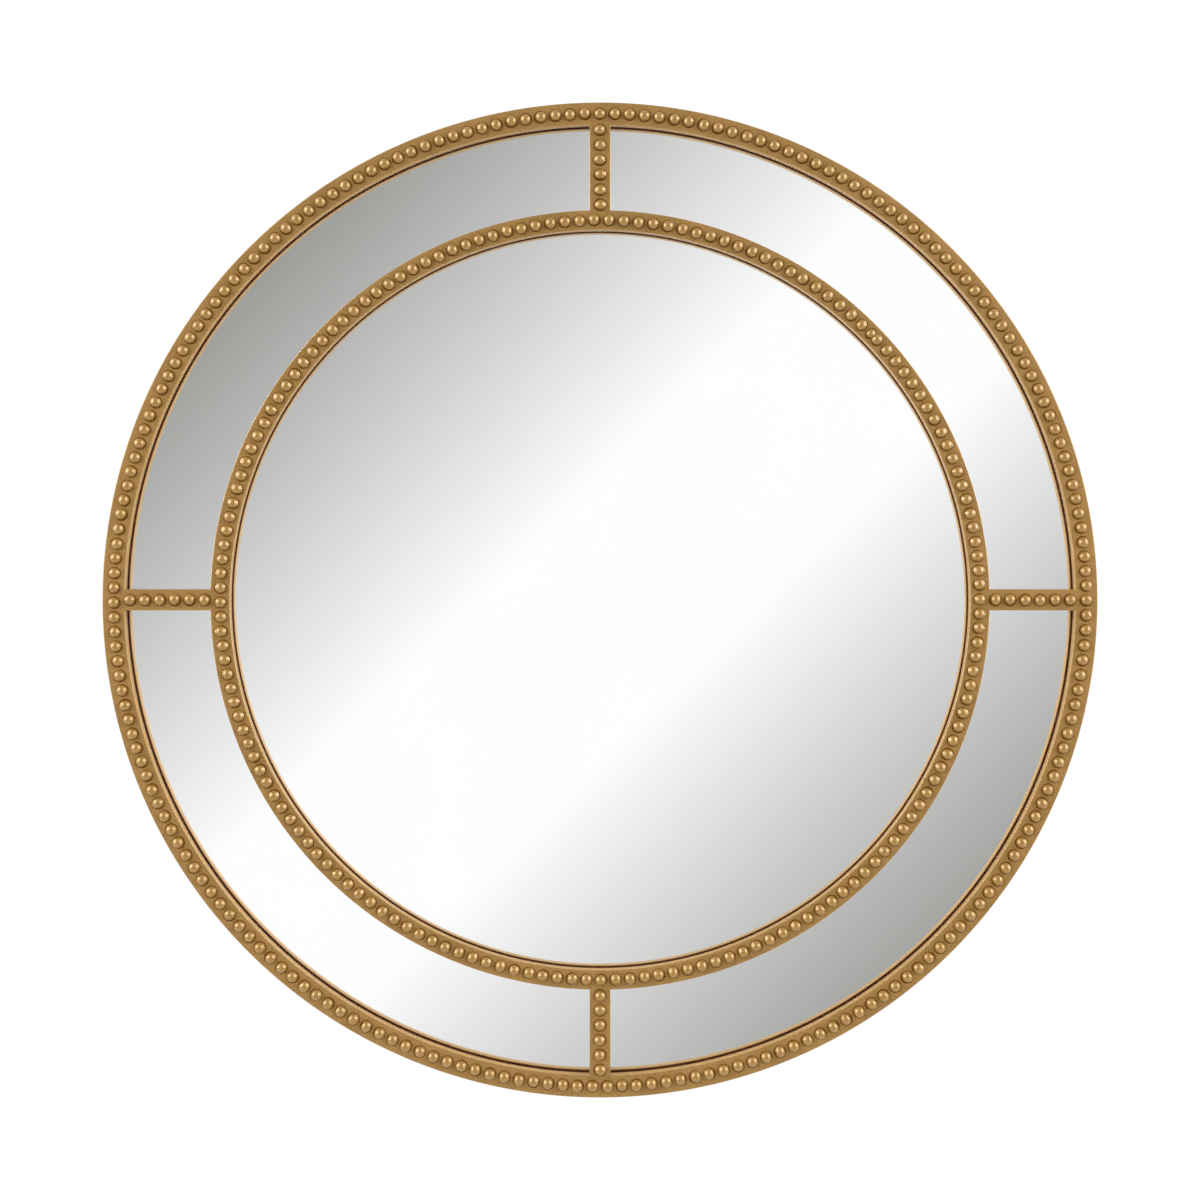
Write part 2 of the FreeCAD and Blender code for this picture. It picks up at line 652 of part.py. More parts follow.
def hanger_screws(name, side):
    """Pan-head screws of one hanger, made on the axis and moved to the strap."""
    body = new_body(f"hanger_screws_{name}")
    seat = f"({PANEL_BACK} - {size('strap_thickness')})"
    top = f"({seat} - {size('hanger_head_height')})"
    crown = f"({top} + {size('hanger_head_height')} / 3)"
    tip = f"({seat} + {size('hanger_screw_length')})"
    corners = [
        ("0", top),
        (f"({size('screw_head_radius')} * 2 / 3)", top),
        (size("screw_head_radius"), crown),
        (size("screw_head_radius"), seat),
        (size("screw_radius"), seat),
        (size("screw_radius"), f"({tip} - {size('screw_point')})"),
        ("0", tip),
    ]
    half = section(body, "screw_section", corners)
    screw = revolve(body, "Revolution", "screw", half)
    recess = cross(body, "0", "0", top)
    drop = f"({size('hanger_screw_pitch')} * ({size('hanger_screw_count')} - 1))"
    column = linear(
        body,
        "screws",
        [screw, recess],
        recess.Profile[0],
        size("hanger_screw_count"),
        drop,
        axis="V_Axis",
    )
    column.Reversed = True
    bind(
        body,
        Placement__Base__x=f"({side} * {size('hanger_spacing')} / 2)",
        Placement__Base__z=f"({HANGER_RISE} - {size('hanger_screw_drop')})",
    )
    return body


# The hangers
def cylinder_across(name, radius, length):
    """A cylinder along X, centred on the origin."""
    part = doc.addObject("Part::Cylinder", name)
    part.Placement = FreeCAD.Placement(V(), FreeCAD.Rotation(V(0, 1, 0), QUARTER_TURN))
    return bind(part, Radius=radius, Height=length, Placement__Base__x=f"(-{length} / 2)")


def joined(name, parts):
    fuse = doc.addObject("Part::MultiFuse", name)
    fuse.Shapes = parts
    return fuse


def cut_from(name, base, tool):
    cut = doc.addObject("Part::Cut", name)
    cut.Base = base
    cut.Tool = tool
    return cut


def at_hinge(item, side):
    """Moves a piece made about the hinge line to its hanger."""
    bind(
        item,
        Placement__Base__x=f"({side} * {size('hanger_spacing')} / 2)",
        Placement__Base__y=f"-{HINGE_DEPTH}",
        Placement__Base__z=HANGER_RISE,
    )
    return item


def hanger_strap(name, side):
    """A flat strap whose upper end is rolled round the D-ring's straight side."""
    label = f"hanger_strap_{name}"
    width = size("strap_width")
    plate = doc.addObject("Part::Box", f"{label}_plate")
    bind(plate, Length=width, Width=size("strap_thickness"), Height=size("strap_length"))
    bind(
        plate,
        Placement__Base__x=f"(-{width} / 2)",
        Placement__Base__y=f"(-{BARREL_RADIUS})",
        Placement__Base__z=f"(-{size('strap_length')})",
    )
    roll = cylinder_across(f"{label}_roll", BARREL_RADIUS, width)
    solid = joined(f"{label}_solid", [plate, roll])
    bore = cylinder_across(f"{label}_bore", BARREL_BORE, f"(2 * {width})")
    slit = doc.addObject("Part::Box", f"{label}_slit")
    bind(slit, Length=f"(2 * {width})", Width=size("strap_slit"), Height=BARREL_RADIUS)
    bind(slit, Placement__Base__x=f"(-{width})", Placement__Base__z=f"(-{BARREL_RADIUS})")
    holes = []
    for number in range(int(sheet.get("hanger_screw_count"))):
        hole = doc.addObject("Part::Cylinder", f"{label}_hole_{number + 1}")
        hole.Placement = FreeCAD.Placement(V(), FreeCAD.Rotation(V(1, 0, 0), QUARTER_TURN))
        bind(hole, Radius=f"({size('screw_radius')} + {size('screw_gap')})", Height=BARREL_RADIUS)
        drop = f"({size('hanger_screw_drop')} + {number} * {size('hanger_screw_pitch')})"
        bind(hole, Placement__Base__z=f"(-{drop})")
        holes.append(hole)
    strap = cut_from(label, solid, joined(f"{label}_openings", [bore, slit, *holes]))
    strap.Label = label
    return at_hinge(strap, side)


def bend(name, radius, turn_from, across, up):
    """A quarter of a torus in the XZ plane, from turn_from anticlockwise as seen from the front."""
    part = doc.addObject("Part::Torus", name)
    part.Angle3 = QUARTER_TURN
    upright = FreeCAD.Rotation(V(1, 0, 0), QUARTER_TURN)
    part.Placement = FreeCAD.Placement(V(), upright * FreeCAD.Rotation(V(0, 0, 1), turn_from))
    bind(part, Radius1=radius, Radius2=size("wire_radius"))
    return bind(part, Placement__Base__x=across, Placement__Base__z=up)


def hanger_ring(name, side):
    """A D of bent wire. At rest it leans on the mirror's back, just clear of the panel."""
    label = f"hanger_ring_{name}"
    half = f"({size('loop_width')} / 2)"
    corner = size("loop_corner")
    side_height = f"({size('loop_side')} - {corner})"
    wire = [cylinder_across(f"{label}_bar", size("wire_radius"), f"(2 * ({half} - {corner}))")]
    for hand, word in ((-1, "left"), (1, "right")):
        leg = doc.addObject("Part::Cylinder", f"{label}_{word}_leg")
        bind(leg, Radius=size("wire_radius"), Height=side_height)
        bind(leg, Placement__Base__x=f"({hand} * {half})", Placement__Base__z=corner)
        lower = HALF_TURN if hand < 0 else HALF_TURN + QUARTER_TURN
        upper = QUARTER_TURN if hand < 0 else 0
        wire += [
            leg,
            bend(f"{label}_{word}_corner", corner, lower, f"({hand} * ({half} - {corner}))", corner),
            bend(f"{label}_{word}_arc", half, upper, "0", size("loop_side")),
        ]
    ring = joined(label, wire)
    ring.Label = label
    ring.Placement = FreeCAD.Placement(V(), FreeCAD.Rotation(V(1, 0, 0), 1))
    lean = f"({BARREL_RADIUS} - {size('wire_radius')} - {size('loop_clearance')})"
    reach = f"({size('loop_side')} + {half})"
    bind(ring, Placement__Rotation__Angle=f"asin({lean} / {reach})")
    return at_hinge(ring, side)


def wall_bumpers():
    """Tapered rubber feet on the panel, their flat faces in the wall plane."""
    body = new_body("wall_bumpers")
    place = BUMPERS
    corners = [
        (place, "0"),
        (f"({place} + {size('bumper_radius')})", "0"),
        (f"({place} + {size('bumper_foot_radius')})", PANEL_BACK),
        (place, PANEL_BACK),
    ]
    half = section(body, "bumper_section", corners, axis=place)
    foot = revolve(body, "Revolution", "bumper", half, own_axis=True)
    polar(body, "bumpers", [foot], half, size("bumper_count"))
    body.Placement = FreeCAD.Placement(V(), FreeCAD.Rotation(V(0, 1, 0), 1))
    bind(body, Placement__Rotation__Angle=f"-{size('bumper_turn')}")
    return body


SPOKE_TURNS = {"right": 0, "top": 90, "left": 180, "bottom": 270}
QUARTER_TURNS = {"top_right": 0, "top_left": 90, "bottom_left": 180, "bottom_right": 270}
HANDS = {"left": -1, "right": 1}

nodes = [
    outer_ring(),
    inner_ring(),
    *(spoke(side, turn) for side, turn in SPOKE_TURNS.items()),
    bead_ring("outer_bead_strip", OUTER_BEADS, OUTER_BEAD_COUNT, size("outer_seam_turn")),
    bead_ring(
        "inner_bead_strip",
        INNER_BEADS,
        INNER_BEAD_COUNT,
        size("inner_seam_turn"),
        seam_spacing=size("inner_seam_spacing"),
    ),
    *(spoke_beads(side, turn) for side, turn in SPOKE_TURNS.items()),
    centre_mirror(),
    *(quarter_mirror(name, turn) for name, turn in QUARTER_TURNS.items()),
    back_panel(),
    centre_mirror_pads(),
    quarter_mirror_pads(),
    panel_screws(
        "outer_ring_screws", OUTER_SCREWS, size("outer_screw_count"), size("outer_screw_turn")
    ),
    panel_screws(
        "inner_ring_screws", INNER_SCREWS, size("inner_screw_count"), size("inner_screw_turn")
    ),
    panel_screws("spoke_screws", SPOKE_MIDDLE, size("spoke_screw_count"), "0"),
    *(hanger_strap(name, side) for name, side in HANDS.items()),
    *(hanger_ring(name, side) for name, side in HANDS.items()),
    *(hanger_screws(name, side) for name, side in HANDS.items()),
    wall_bumpers(),
]
doc.recompute()

# Nothing is written unless every object and every shape is sound
failed = [item.Name for item in doc.Objects if {"Invalid", "Error"} & set(item.State)]
failed += [node.Label for node in nodes if node.Shape.isNull() or not node.Shape.isValid()]
if failed:
    raise RuntimeError(f"not built: {failed}")
os.makedirs("parts", exist_ok=True)
for node in nodes:
    node.Shape.exportStep(f"parts/{node.Label}.step")
    print(node.Label, len(node.Shape.Solids), round(node.Shape.Volume, 1))
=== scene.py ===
import math

import bpy
import numpy as np
from bpy.props import FloatProperty, FloatVectorProperty, IntProperty, PointerProperty
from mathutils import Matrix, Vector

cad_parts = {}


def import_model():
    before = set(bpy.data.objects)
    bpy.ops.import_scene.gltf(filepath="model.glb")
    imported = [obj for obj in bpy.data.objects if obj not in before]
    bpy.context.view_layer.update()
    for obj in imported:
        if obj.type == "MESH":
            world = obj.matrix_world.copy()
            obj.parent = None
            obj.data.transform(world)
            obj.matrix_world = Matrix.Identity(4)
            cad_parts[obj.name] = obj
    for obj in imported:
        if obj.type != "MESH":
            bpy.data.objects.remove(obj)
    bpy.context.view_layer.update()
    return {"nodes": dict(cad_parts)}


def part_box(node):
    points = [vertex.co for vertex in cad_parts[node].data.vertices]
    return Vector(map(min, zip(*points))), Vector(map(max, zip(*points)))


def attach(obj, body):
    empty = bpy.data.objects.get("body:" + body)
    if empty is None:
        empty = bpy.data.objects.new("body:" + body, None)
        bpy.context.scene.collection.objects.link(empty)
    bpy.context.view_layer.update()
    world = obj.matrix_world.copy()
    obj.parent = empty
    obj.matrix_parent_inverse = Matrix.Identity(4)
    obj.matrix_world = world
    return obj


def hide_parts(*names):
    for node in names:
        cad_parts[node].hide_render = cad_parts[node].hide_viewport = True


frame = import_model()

# A round wall mirror in five panes, held by beaded rings and spokes painted antique gold.
# It hangs upright, faces -Y and has its origin in the wall, so a depth is measured along -Y.
# Lengths are in metres, and a turn is an angle anticlockwise from the right, seen from the front.

bl_info = {
    "name": "Beaded Wall Mirror",
    "version": (1, 0, 0),
    "blender": (4, 5, 0),
    "location": "3D View > Sidebar > Mirror",
    "description": "Finishes the frame, beads, panes and back of a round wall mirror",
    "category": "Add Mesh",
}

MM = 0.001
SPOKE_TURNS = {"right": 0, "top": 90, "left": 180, "bottom": 270}
QUARTER_TURNS = {"top_right": 0, "top_left": 90, "bottom_left": 180, "bottom_right": 270}
HANDS = ("left", "right")


def reach(node):
    """The radius that a round node has in every direction."""
    low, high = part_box(node)
    return min(-low.x, high.x, -low.z, high.z)


# Depths from the wall and radii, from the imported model
RIM_BACK = -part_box("outer_ring")[1].y
FRONT = -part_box("outer_ring")[0].y
PANEL_BACK = -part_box("back_panel")[1].y
PANEL_FRONT = -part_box("back_panel")[0].y
GLASS_BACK = -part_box("centre_mirror")[1].y
GLASS_FRONT = -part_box("centre_mirror")[0].y
BEAD_TOP = -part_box("outer_bead_strip")[0].y
OUTER_RADIUS = reach("outer_ring")
INNER_RADIUS = reach("inner_ring")
CENTRE_PANE_RADIUS = reach("centre_mirror")
SPOKE_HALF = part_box("spoke_right")[1].z
PANE_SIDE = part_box("quarter_mirror_top_right")[0].x


def linear(code):
    """An sRGB colour such as "#a5804b" as linear red, green and blue."""
    parts = [int(code[start:start + 2], 16) / 255 for start in (1, 3, 5)]
    return tuple(c / 12.92 if c <= 0.04045 else ((c + 0.055) / 1.055) ** 2.4 for c in parts)


def length(name, description, millimetres):
    return FloatProperty(
        name=name,
        description=description,
        default=millimetres * MM,
        min=0,
        precision=4,
        subtype="DISTANCE",
        unit="LENGTH",
    )


def paint(name, description, code):
    return FloatVectorProperty(
        name=name,
        description=description,
        default=linear(code),
        min=0,
        max=1,
        size=3,
        subtype="COLOR",
    )


class MirrorSizes(bpy.types.PropertyGroup):
    """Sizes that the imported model's boxes don't give"""

    outer_face: length("Outer face", "Front face of the outer ring", 20.2)
    inner_face: length("Inner face", "Front face of the inner ring", 17.9)
    lip_overlap: length("Lip overlap", "How far a lip covers the edge of a pane", 5.1)
    heel_overlap: length("Heel overlap", "How far the inner ring's outside covers the panes", 4.5)
    lip_lift: length("Lip lift", "Hair gap between a lip and the glass", 0.06)
    rim_wall: length("Rim wall", "Outer ring round the edge of the back panel", 6)
    pane_gap: length("Pane gap", "Edge of a pane to the web of the frame", 0.5)
    joint_gap: length("Joint gap", "Hidden tongue of a spoke to the web of a ring", 0.1)
    edge_ease: length("Edge ease", "Easing of the edges that show", 0.6)
    back_ease: length("Back ease", "Easing of the edges behind", 0.5)
    hidden_ease: length("Hidden ease", "Easing of the edges of the rebates", 0.2)
    bead_radius: length("Bead radius", "Foot of a bead", 5.6)
    bead_inset: length("Bead inset", "Bead circle inside the middle of a ring's face", 0.3)
    bead_sink: length("Bead sink", "Foot of a bead below the front face", 0.3)
    bead_wander: length("Bead wander", "Bead from its place on the strip, at most", 0.55)
    spoke_pitch: length("Spoke pitch", "Spacing of the beads on a spoke", 13.7)
    ribbon_width: length("Ribbon width", "Ribbon that carries the beads", 3)
    ribbon_rise: length("Ribbon rise", "Ribbon above the front face", 0.12)
    arris: length("Arris", "Ground edge of the glass", 0.4)
    coat_lift: length("Coat lift", "Silver coating in front of the tape", 0.02)
    bumper_radius: length("Bumper radius", "Rubber bumper at the wall", 8)
    bumper_foot: length("Bumper foot", "Rubber bumper at the panel", 10)
    spoke_beads: IntProperty(name="Spoke beads", description="Beads on a spoke", default=6)


class MirrorColours(bpy.types.PropertyGroup):
    """Colours of the finishes"""

    gold: paint("Gold", "Brass flake of the paint", "#a07c49")
    gold_shade: paint("Gold shade", "Paint where the flake lies thinner", "#806236")
    # Painted light: paler gold on the edges and on the walls beside the glass, standing in for the
    # light that falls on them
    painted_light_gold: paint("Gold edge", "Thicker paint on the edges and the sides", "#c6a065")
    burnish: paint("Burnish", "Paint rubbed bright on the beads", "#8c662a")
    burnish_shade: paint("Burnish shade", "Less rubbed patches of the beads", "#785520")
    sheen: paint("Sheen", "Warm sheen of the lacquer on the beads", "#fff9aa")
    # Umber glaze in the hollows, also used as painted shade round the feet of the beads and on
    # their undersides
    glaze_and_shade: paint("Glaze", "Umber glaze wiped into the hollows", "#5f3806")
    # Brown primer on the back and in the rebates, also used as painted shade at the foot of the
    # walls above the glass
    primer_and_shade: paint("Primer", "Brown primer on the back of the frame", "#61330e")
    glass: paint("Glass", "Float glass, seen through its edge", "#feffff")
    silver: paint("Silver", "Silver coating behind the glass", "#ffffff")
    board: paint("Board", "Raw fibreboard", "#a98a68")
    board_fibre: paint("Board fibre", "Darker fibres in the board", "#84684b")
    zinc: paint("Zinc", "Bright zinc plating", "#c3c4c0")
    zinc_tint: paint("Zinc tint", "Passivated patches of the plating", "#b9b89c")
    rubber: paint("Rubber", "Wall bumpers", "#2b2b2a")
    foam: paint("Foam", "Foam tape under the panes", "#e6e4de")
    floor: paint("Floor", "Studio floor", "#dddcd8")
    room: paint("Room", "Darker parts of the room that the panes reflect", "#8c8c87")


# Surfaces
def eased(corners, easing, steps=5, hold=1.25):
    """A closed outline whose corners are eased by parabolas.

    Near corner P the points are (1 - t)^2 A + 2t (1 - t) P + t^2 B, where A and B lie on its two
    sides at the corner's easing from P. One point more, at hold times the easing, keeps them flat.
    """
    corners = np.asarray(corners, float)
    easing = np.broadcast_to(easing, len(corners))[:, None]
    back = np.roll(corners, 1, 0) - corners
    ahead = np.roll(corners, -1, 0) - corners
    back /= np.linalg.norm(back, axis=1, keepdims=True)
    ahead /= np.linalg.norm(ahead, axis=1, keepdims=True)
    t = np.linspace(0, 1, steps + 1)[:, None, None]
    first, last = corners + back * easing, corners + ahead * easing
    curve = (1 - t) ** 2 * first + 2 * t * (1 - t) * corners + t ** 2 * last
    ends = [(corners + side * easing * hold)[None] for side in (back, ahead)]
    path = np.concatenate([ends[0], curve, ends[1]])
    return path.transpose(1, 0, 2).reshape(-1, 2)


def turned(outline, turns):
    """A grid of points: the outline's point (r, d) at turn a stands at (r cos a, -d, r sin a)."""
    radius, depth = outline[:, :1], outline[:, 1:]
    flat = np.zeros_like(turns)
    return np.stack([radius * np.cos(turns), flat - depth, radius * np.sin(turns)], -1)


def spun(points, degrees):
    """Points turned round the mirror's axis: x' = x cos a - z sin a and z' = x sin a + z cos a."""
    turn = math.radians(degrees)
    cos, sin = math.cos(turn), math.sin(turn)
    x, y, z = np.moveaxis(points, -1, 0)
    return np.stack([x * cos - z * sin, y, x * sin + z * cos], -1)


def skin(grid, closed, lanes=None):
    """Faces over a grid of points, and the lane coordinates of their corners.

    closed says whether the rows and the columns join up. Where they don't, each end gets one face.
    lanes holds coordinates for the same grid, with one more row or column where it joins up.
    """
    rows, columns = grid.shape[:2]
    i, j = np.indices((rows - (not closed[0]), columns - (not closed[1]))).reshape(2, -1)
    steps = ((0, 0), (0, 1), (1, 1), (1, 0))
    number = np.arange(rows * columns).reshape(rows, columns)
    blocks = [np.stack([number[(i + a) % rows, (j + b) % columns] for a, b in steps], 1)]
    if not closed[0]:
        blocks += [number[:1, ::-1], number[-1:]]
    if not closed[1]:
        blocks += [number[:, :1].T, number[::-1, -1:].T]
    if lanes is None:
        return blocks, None
    maps = [np.stack([lanes[i + a, j + b] for a, b in steps], 1)]
    if not closed[1]:
        maps += [lanes[None, :rows, 0], lanes[None, :rows, -1][:, ::-1]]
    return blocks, maps


def joined(*parts):
    """Several sets of points and faces as one."""
    points, blocks, start = [], [], 0
    for some_points, some_blocks in parts:
        some_points = some_points.reshape(-1, 3)
        points.append(some_points)
        blocks += [block + start for block in some_blocks]
        start += len(some_points)
    return np.concatenate(points), blocks


def enclosed(points, blocks):
    """Six times the volume inside the faces: the sum of a . (b x c) over a fan of each face."""
    total = 0
    for block in blocks:
        first = points[block[:, 0]]
        for corner in range(1, block.shape[1] - 1):
            pair = np.cross(points[block[:, corner]], points[block[:, corner + 1]])
            total += np.einsum("ij,ij->", first, pair)
    return total


def placed(name, data):
    """An object in the scene, at the origin."""
    item = bpy.data.objects.new(name, data)
    bpy.context.scene.collection.objects.link(item)
    return item


def make_piece(name, points, blocks, finish, nodes=(), maps=None, sharp=35):
    """An object from points and blocks of faces, turned outwards, that rides on the mirror.

    sharp is the angle in degrees above which an edge between two faces stays crisp.
    """
    points = np.asarray(points, float).reshape(-1, 3)
    if enclosed(points, blocks) < 0:
        blocks = [block[:, ::-1] for block in blocks]
        maps = maps and [lane[:, ::-1] for lane in maps]
    mesh = bpy.data.meshes.new(name)
    mesh.from_pydata(points, [], [face for block in blocks for face in block.tolist()])
    if maps:
        layer = mesh.uv_layers.new(name="lane")
        layer.data.foreach_set("uv", np.concatenate([lane.reshape(-1) for lane in maps]))
    mesh.shade_smooth()
    mesh.set_sharp_from_angle(angle=math.radians(sharp))
    mesh.materials.append(finish)
    item = placed(name, mesh)
    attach(item, "mirror")
    if nodes:
        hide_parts(*nodes)
    return item


# Where the beads stand
# Each strip was laid by hand. These pairs give the number of a bead and its turn in degrees, and
# the beads between two pairs are evenly spaced. The outer strip's beads count anticlockwise from
# the right. The inner strip's count clockwise from the seam in the upper right, between its ends.
OUTER_STRIP = (
    (0, -0.03), (18, 30.88), (36, 61.90), (54, 93.54), (72, 125.07), (90, 156.01), (108, 187.24),
    (126, 218.64), (144, 249.96), (162, 281.28), (180, 312.60), (198, 344.03), (207, 359.97),
)
INNER_STRIP = (
    (0, 43.18), (1, 41.07), (2, 39.02), (11, 19.74), (20, 0.10), (23, -6.39), (41, -45.83),
    (59, -85.47), (77, -124.98), (95, -164.37), (104, -184.02), (113, -203.43), (131, -242.70),
    (140, -262.44), (149, -282.53), (158, -302.34), (163, -313.67), (164, -315.53), (165, -316.82),
)


def bead_turns(pairs, number):
    """Turns of beads in radians, linear between a strip's pairs."""
    numbers, degrees = zip(*pairs)
    return np.radians(np.interp(number, numbers, degrees))


def outer_circle(sizes):
    return OUTER_RADIUS - sizes.outer_face / 2 - sizes.bead_inset


def inner_circle(sizes):
    return INNER_RADIUS - sizes.inner_face / 2 - sizes.bead_inset


def first_spoke_bead(sizes):
    middle = (INNER_RADIUS + OUTER_RADIUS - sizes.outer_face) / 2
    return middle - sizes.spoke_pitch * (sizes.spoke_beads - 1) / 2


# The rings and the spokes
COLUMNS_PER_BEAD = 3
SPOKE_COLUMNS = 8


def ring(name, node, corners, easing, circle, pairs, finish):
    """A ring whose outline is carried round the axis, with lanes that count its beads.

    Across the lane the second coordinate is the distance from the bead circle in spacings.
    """
    outline = eased(corners, easing)
    count = pairs[-1][0]
    numbers = np.linspace(0, count, count * COLUMNS_PER_BEAD + 1)
    grid = turned(outline, bead_turns(pairs, numbers[:-1]))
    pitch = 2 * math.pi * circle / count
    across = (np.append(outline[:, 0], outline[0, 0]) - circle) / pitch
    lanes = np.stack(np.meshgrid(numbers, across), -1)
    blocks, maps = skin(grid, (True, True), lanes)
    return make_piece(name, grid, blocks, finish, [node], maps)


def outer_ring(sizes, finish):
    """Rebated behind its lip for the panes, and behind its rim for the back panel."""
    lip = OUTER_RADIUS - sizes.outer_face
    web = lip + sizes.lip_overlap
    rim = OUTER_RADIUS - sizes.rim_wall
    under_lip = GLASS_FRONT + sizes.lip_lift
    show, back, hidden = sizes.edge_ease, sizes.back_ease, sizes.hidden_ease
    corners = [
        (OUTER_RADIUS, RIM_BACK),
        (OUTER_RADIUS, FRONT),
        (lip, FRONT),
        (lip, under_lip),
        (web, under_lip),
        (web, PANEL_FRONT),
        (rim, PANEL_FRONT),
        (rim, RIM_BACK),
    ]
    easing = [back, show, show, *[hidden] * 4, back]
    circle = outer_circle(sizes)
    return ring("outer_ring_painted", "outer_ring", corners, easing, circle, OUTER_STRIP, finish)


def inner_ring(sizes, finish):
    """Its two lips reach over the centre pane and over the quarter panes."""
    lip = INNER_RADIUS - sizes.inner_face
    web = lip + sizes.lip_overlap
    heel = INNER_RADIUS - sizes.heel_overlap
    under_lip = GLASS_FRONT + sizes.lip_lift
    show, hidden = sizes.edge_ease, sizes.hidden_ease
    corners = [
        (INNER_RADIUS, FRONT),
        (lip, FRONT),
        (lip, under_lip),
        (web, under_lip),
        (web, PANEL_FRONT),
        (heel, PANEL_FRONT),
        (heel, under_lip),
        (INNER_RADIUS, under_lip),
    ]
    easing = [show] * 2 + [hidden] * 6
    circle = inner_circle(sizes)
    return ring("inner_ring_painted", "inner_ring", corners, easing, circle, INNER_STRIP, finish)


def spoke(side, sizes, finish):
    """A bar on a narrower web, closed against both rings.

    Each point (z, d) of its outline runs from x = sqrt(a^2 - z^2) to x = sqrt(b^2 - z^2), where a
    and b are the radii of the two rings' walls at depth d. Near the front the walls ease back by
    e (1 - sqrt((F - d) / e))^2, with F the front and e the easing, so the bar fills the notch.
    """
    half = SPOKE_HALF
    web = half - sizes.heel_overlap
    under_lip = GLASS_FRONT + sizes.lip_lift
    show, hidden = sizes.edge_ease, sizes.hidden_ease
    corners = [
        *((z, FRONT) for z in np.linspace(-half, half, SPOKE_COLUMNS)),
        (half, under_lip),
        (web, under_lip),
        (web, PANEL_FRONT),
        (-web, PANEL_FRONT),
        (-web, under_lip),
        (-half, under_lip),
    ]
    hidden_corners = len(corners) - SPOKE_COLUMNS
    outline = eased(corners, [show] * SPOKE_COLUMNS + [hidden] * hidden_corners)
    z, depth = outline[:, :1], outline[:, 1:]
    down = np.clip((FRONT - depth) / show, 0, 1)
    notch = show * (1 - np.sqrt(down)) ** 2
    heel = INNER_RADIUS - sizes.heel_overlap + sizes.joint_gap
    lip = OUTER_RADIUS - sizes.outer_face
    tongue = lip + sizes.lip_overlap - sizes.joint_gap
    on_web = depth < under_lip
    inner_wall = np.where(on_web, heel, INNER_RADIUS - notch)
    outer_wall = np.where(on_web, tongue, lip + notch)
    start = np.sqrt(inner_wall ** 2 - z ** 2)
    end = np.sqrt(outer_wall ** 2 - z ** 2)
    share = np.linspace(0, 1, sizes.spoke_beads * COLUMNS_PER_BEAD + 1)
    x = start + share * (end - start)
    flat = np.zeros_like(x)
    grid = np.stack([x, flat - depth, flat + z], -1)
    along = (x - first_spoke_bead(sizes)) / sizes.spoke_pitch
    lanes = np.stack([along, flat + z / sizes.spoke_pitch], -1)
    lanes = np.concatenate([lanes, lanes[:1]])
    blocks, maps = skin(grid, (True, False), lanes)
    points = spun(grid, SPOKE_TURNS[side])
    return make_piece(
        f"spoke_{side}_painted", points, blocks, finish, [f"spoke_{side}"], maps
    )


# Gold compound that dried in crumbs where the bottom spoke meets the outer ring, by their places
# in the photograph in pixels and their width in millimetres
PHOTO_CENTRE = (599.5, 599.7)
PHOTO_PIXEL = 0.9196 * MM
CRUMBS = (
    (589.4, 1076.3, 2.2), (596.6, 1077.1, 2.4), (603.5, 1076.0, 1.8), (610.9, 1076.9, 2.2),
    (589.7, 1081.3, 1.6), (599.7, 1081.3, 1.7),
)
CRUMB_SEED = 5
CRUMB_SINK = 0.2 * MM
# Height of a crumb as a share of its width, and its unevenness
CRUMB_HEIGHT = 0.4
CRUMB_UNEVEN = 0.06
# Lane coordinates away from the beads, so that no glaze and no painted shade darkens the crumbs
BARE_LANE = 0.6


def crumbs(finish):
    """Low domes, made by the beads' formula."""
    table = np.array(CRUMBS)
    places = (table[:, :2] - PHOTO_CENTRE) * (1, -1) * PHOTO_PIXEL
    widths = table[:, 2] * MM
    draw = np.random.default_rng(CRUMB_SEED)
    turns = draw.uniform(0, 2 * math.pi, len(CRUMBS))
    heights = widths * CRUMB_HEIGHT
    points, blocks = domes(places, turns, widths / 2, heights, CRUMB_SINK, draw, CRUMB_UNEVEN)
    maps = [np.full((*block.shape, 2), BARE_LANE) for block in blocks]
    return make_piece("joint_crumbs", points, blocks, finish, maps=maps)


# The beads
OUTER_SEED = 11
INNER_SEED = 12
SPOKE_SEEDS = {"right": 21, "top": 22, "left": 23, "bottom": 24}
DOME_SIDES = 14
DOME_ROWS = 4
DOME_ANGLE = math.radians(85.8)
# A normal draw is cut off at this many spreads
CUT_OFF = 2
# How far beads differ, as shares of their radius, height and form
NARROWER = 0.018
LOWER = 0.03
BEAD_UNEVEN = 0.012
# The small bead at the end of the inner strip
LAST_BEAD = 0.86


def dome_template():
    """A cap of a sphere, cut 85.8 degrees from its top, with foot radius 1 and height 1.

    A point at angle a from the top stands sin a / sin A out and (cos a - cos A) / (1 - cos A) up,
    where A is the angle of the cut. Below the last row a short skirt reaches into the frame.
    """
    angle = np.linspace(0, DOME_ANGLE, DOME_ROWS + 1)[1:]
    out = np.append(np.sin(angle) / math.sin(DOME_ANGLE), 1)
    up = np.append((np.cos(angle) - math.cos(DOME_ANGLE)) / (1 - math.cos(DOME_ANGLE)), 0)
    turn = np.linspace(0, 2 * math.pi, DOME_SIDES, endpoint=False)
    stagger = (np.arange(len(out)) % 2 * math.pi / DOME_SIDES)[:, None]
    stagger[-1] = stagger[-2]
    turn, out, up = turn + stagger, out[:, None], up[:, None]
    grid = np.stack([out * np.cos(turn), out * np.sin(turn), up + 0 * turn], -1)
    return np.concatenate([[[0, 0, 1]], grid.reshape(-1, 3)])


def dome_faces():
    """Triangles round the top, quads between the rows and one face below."""
    number = 1 + np.arange((DOME_ROWS + 1) * DOME_SIDES).reshape(DOME_ROWS + 1, DOME_SIDES)
    following = np.roll(number, -1, 1)
    top = np.stack([np.zeros(DOME_SIDES, int), number[0], following[0]], 1)
    sides = np.stack([number[:-1], number[1:], following[1:], following[:-1]], -1).reshape(-1, 4)
    return [top, sides, number[-1:, ::-1]]


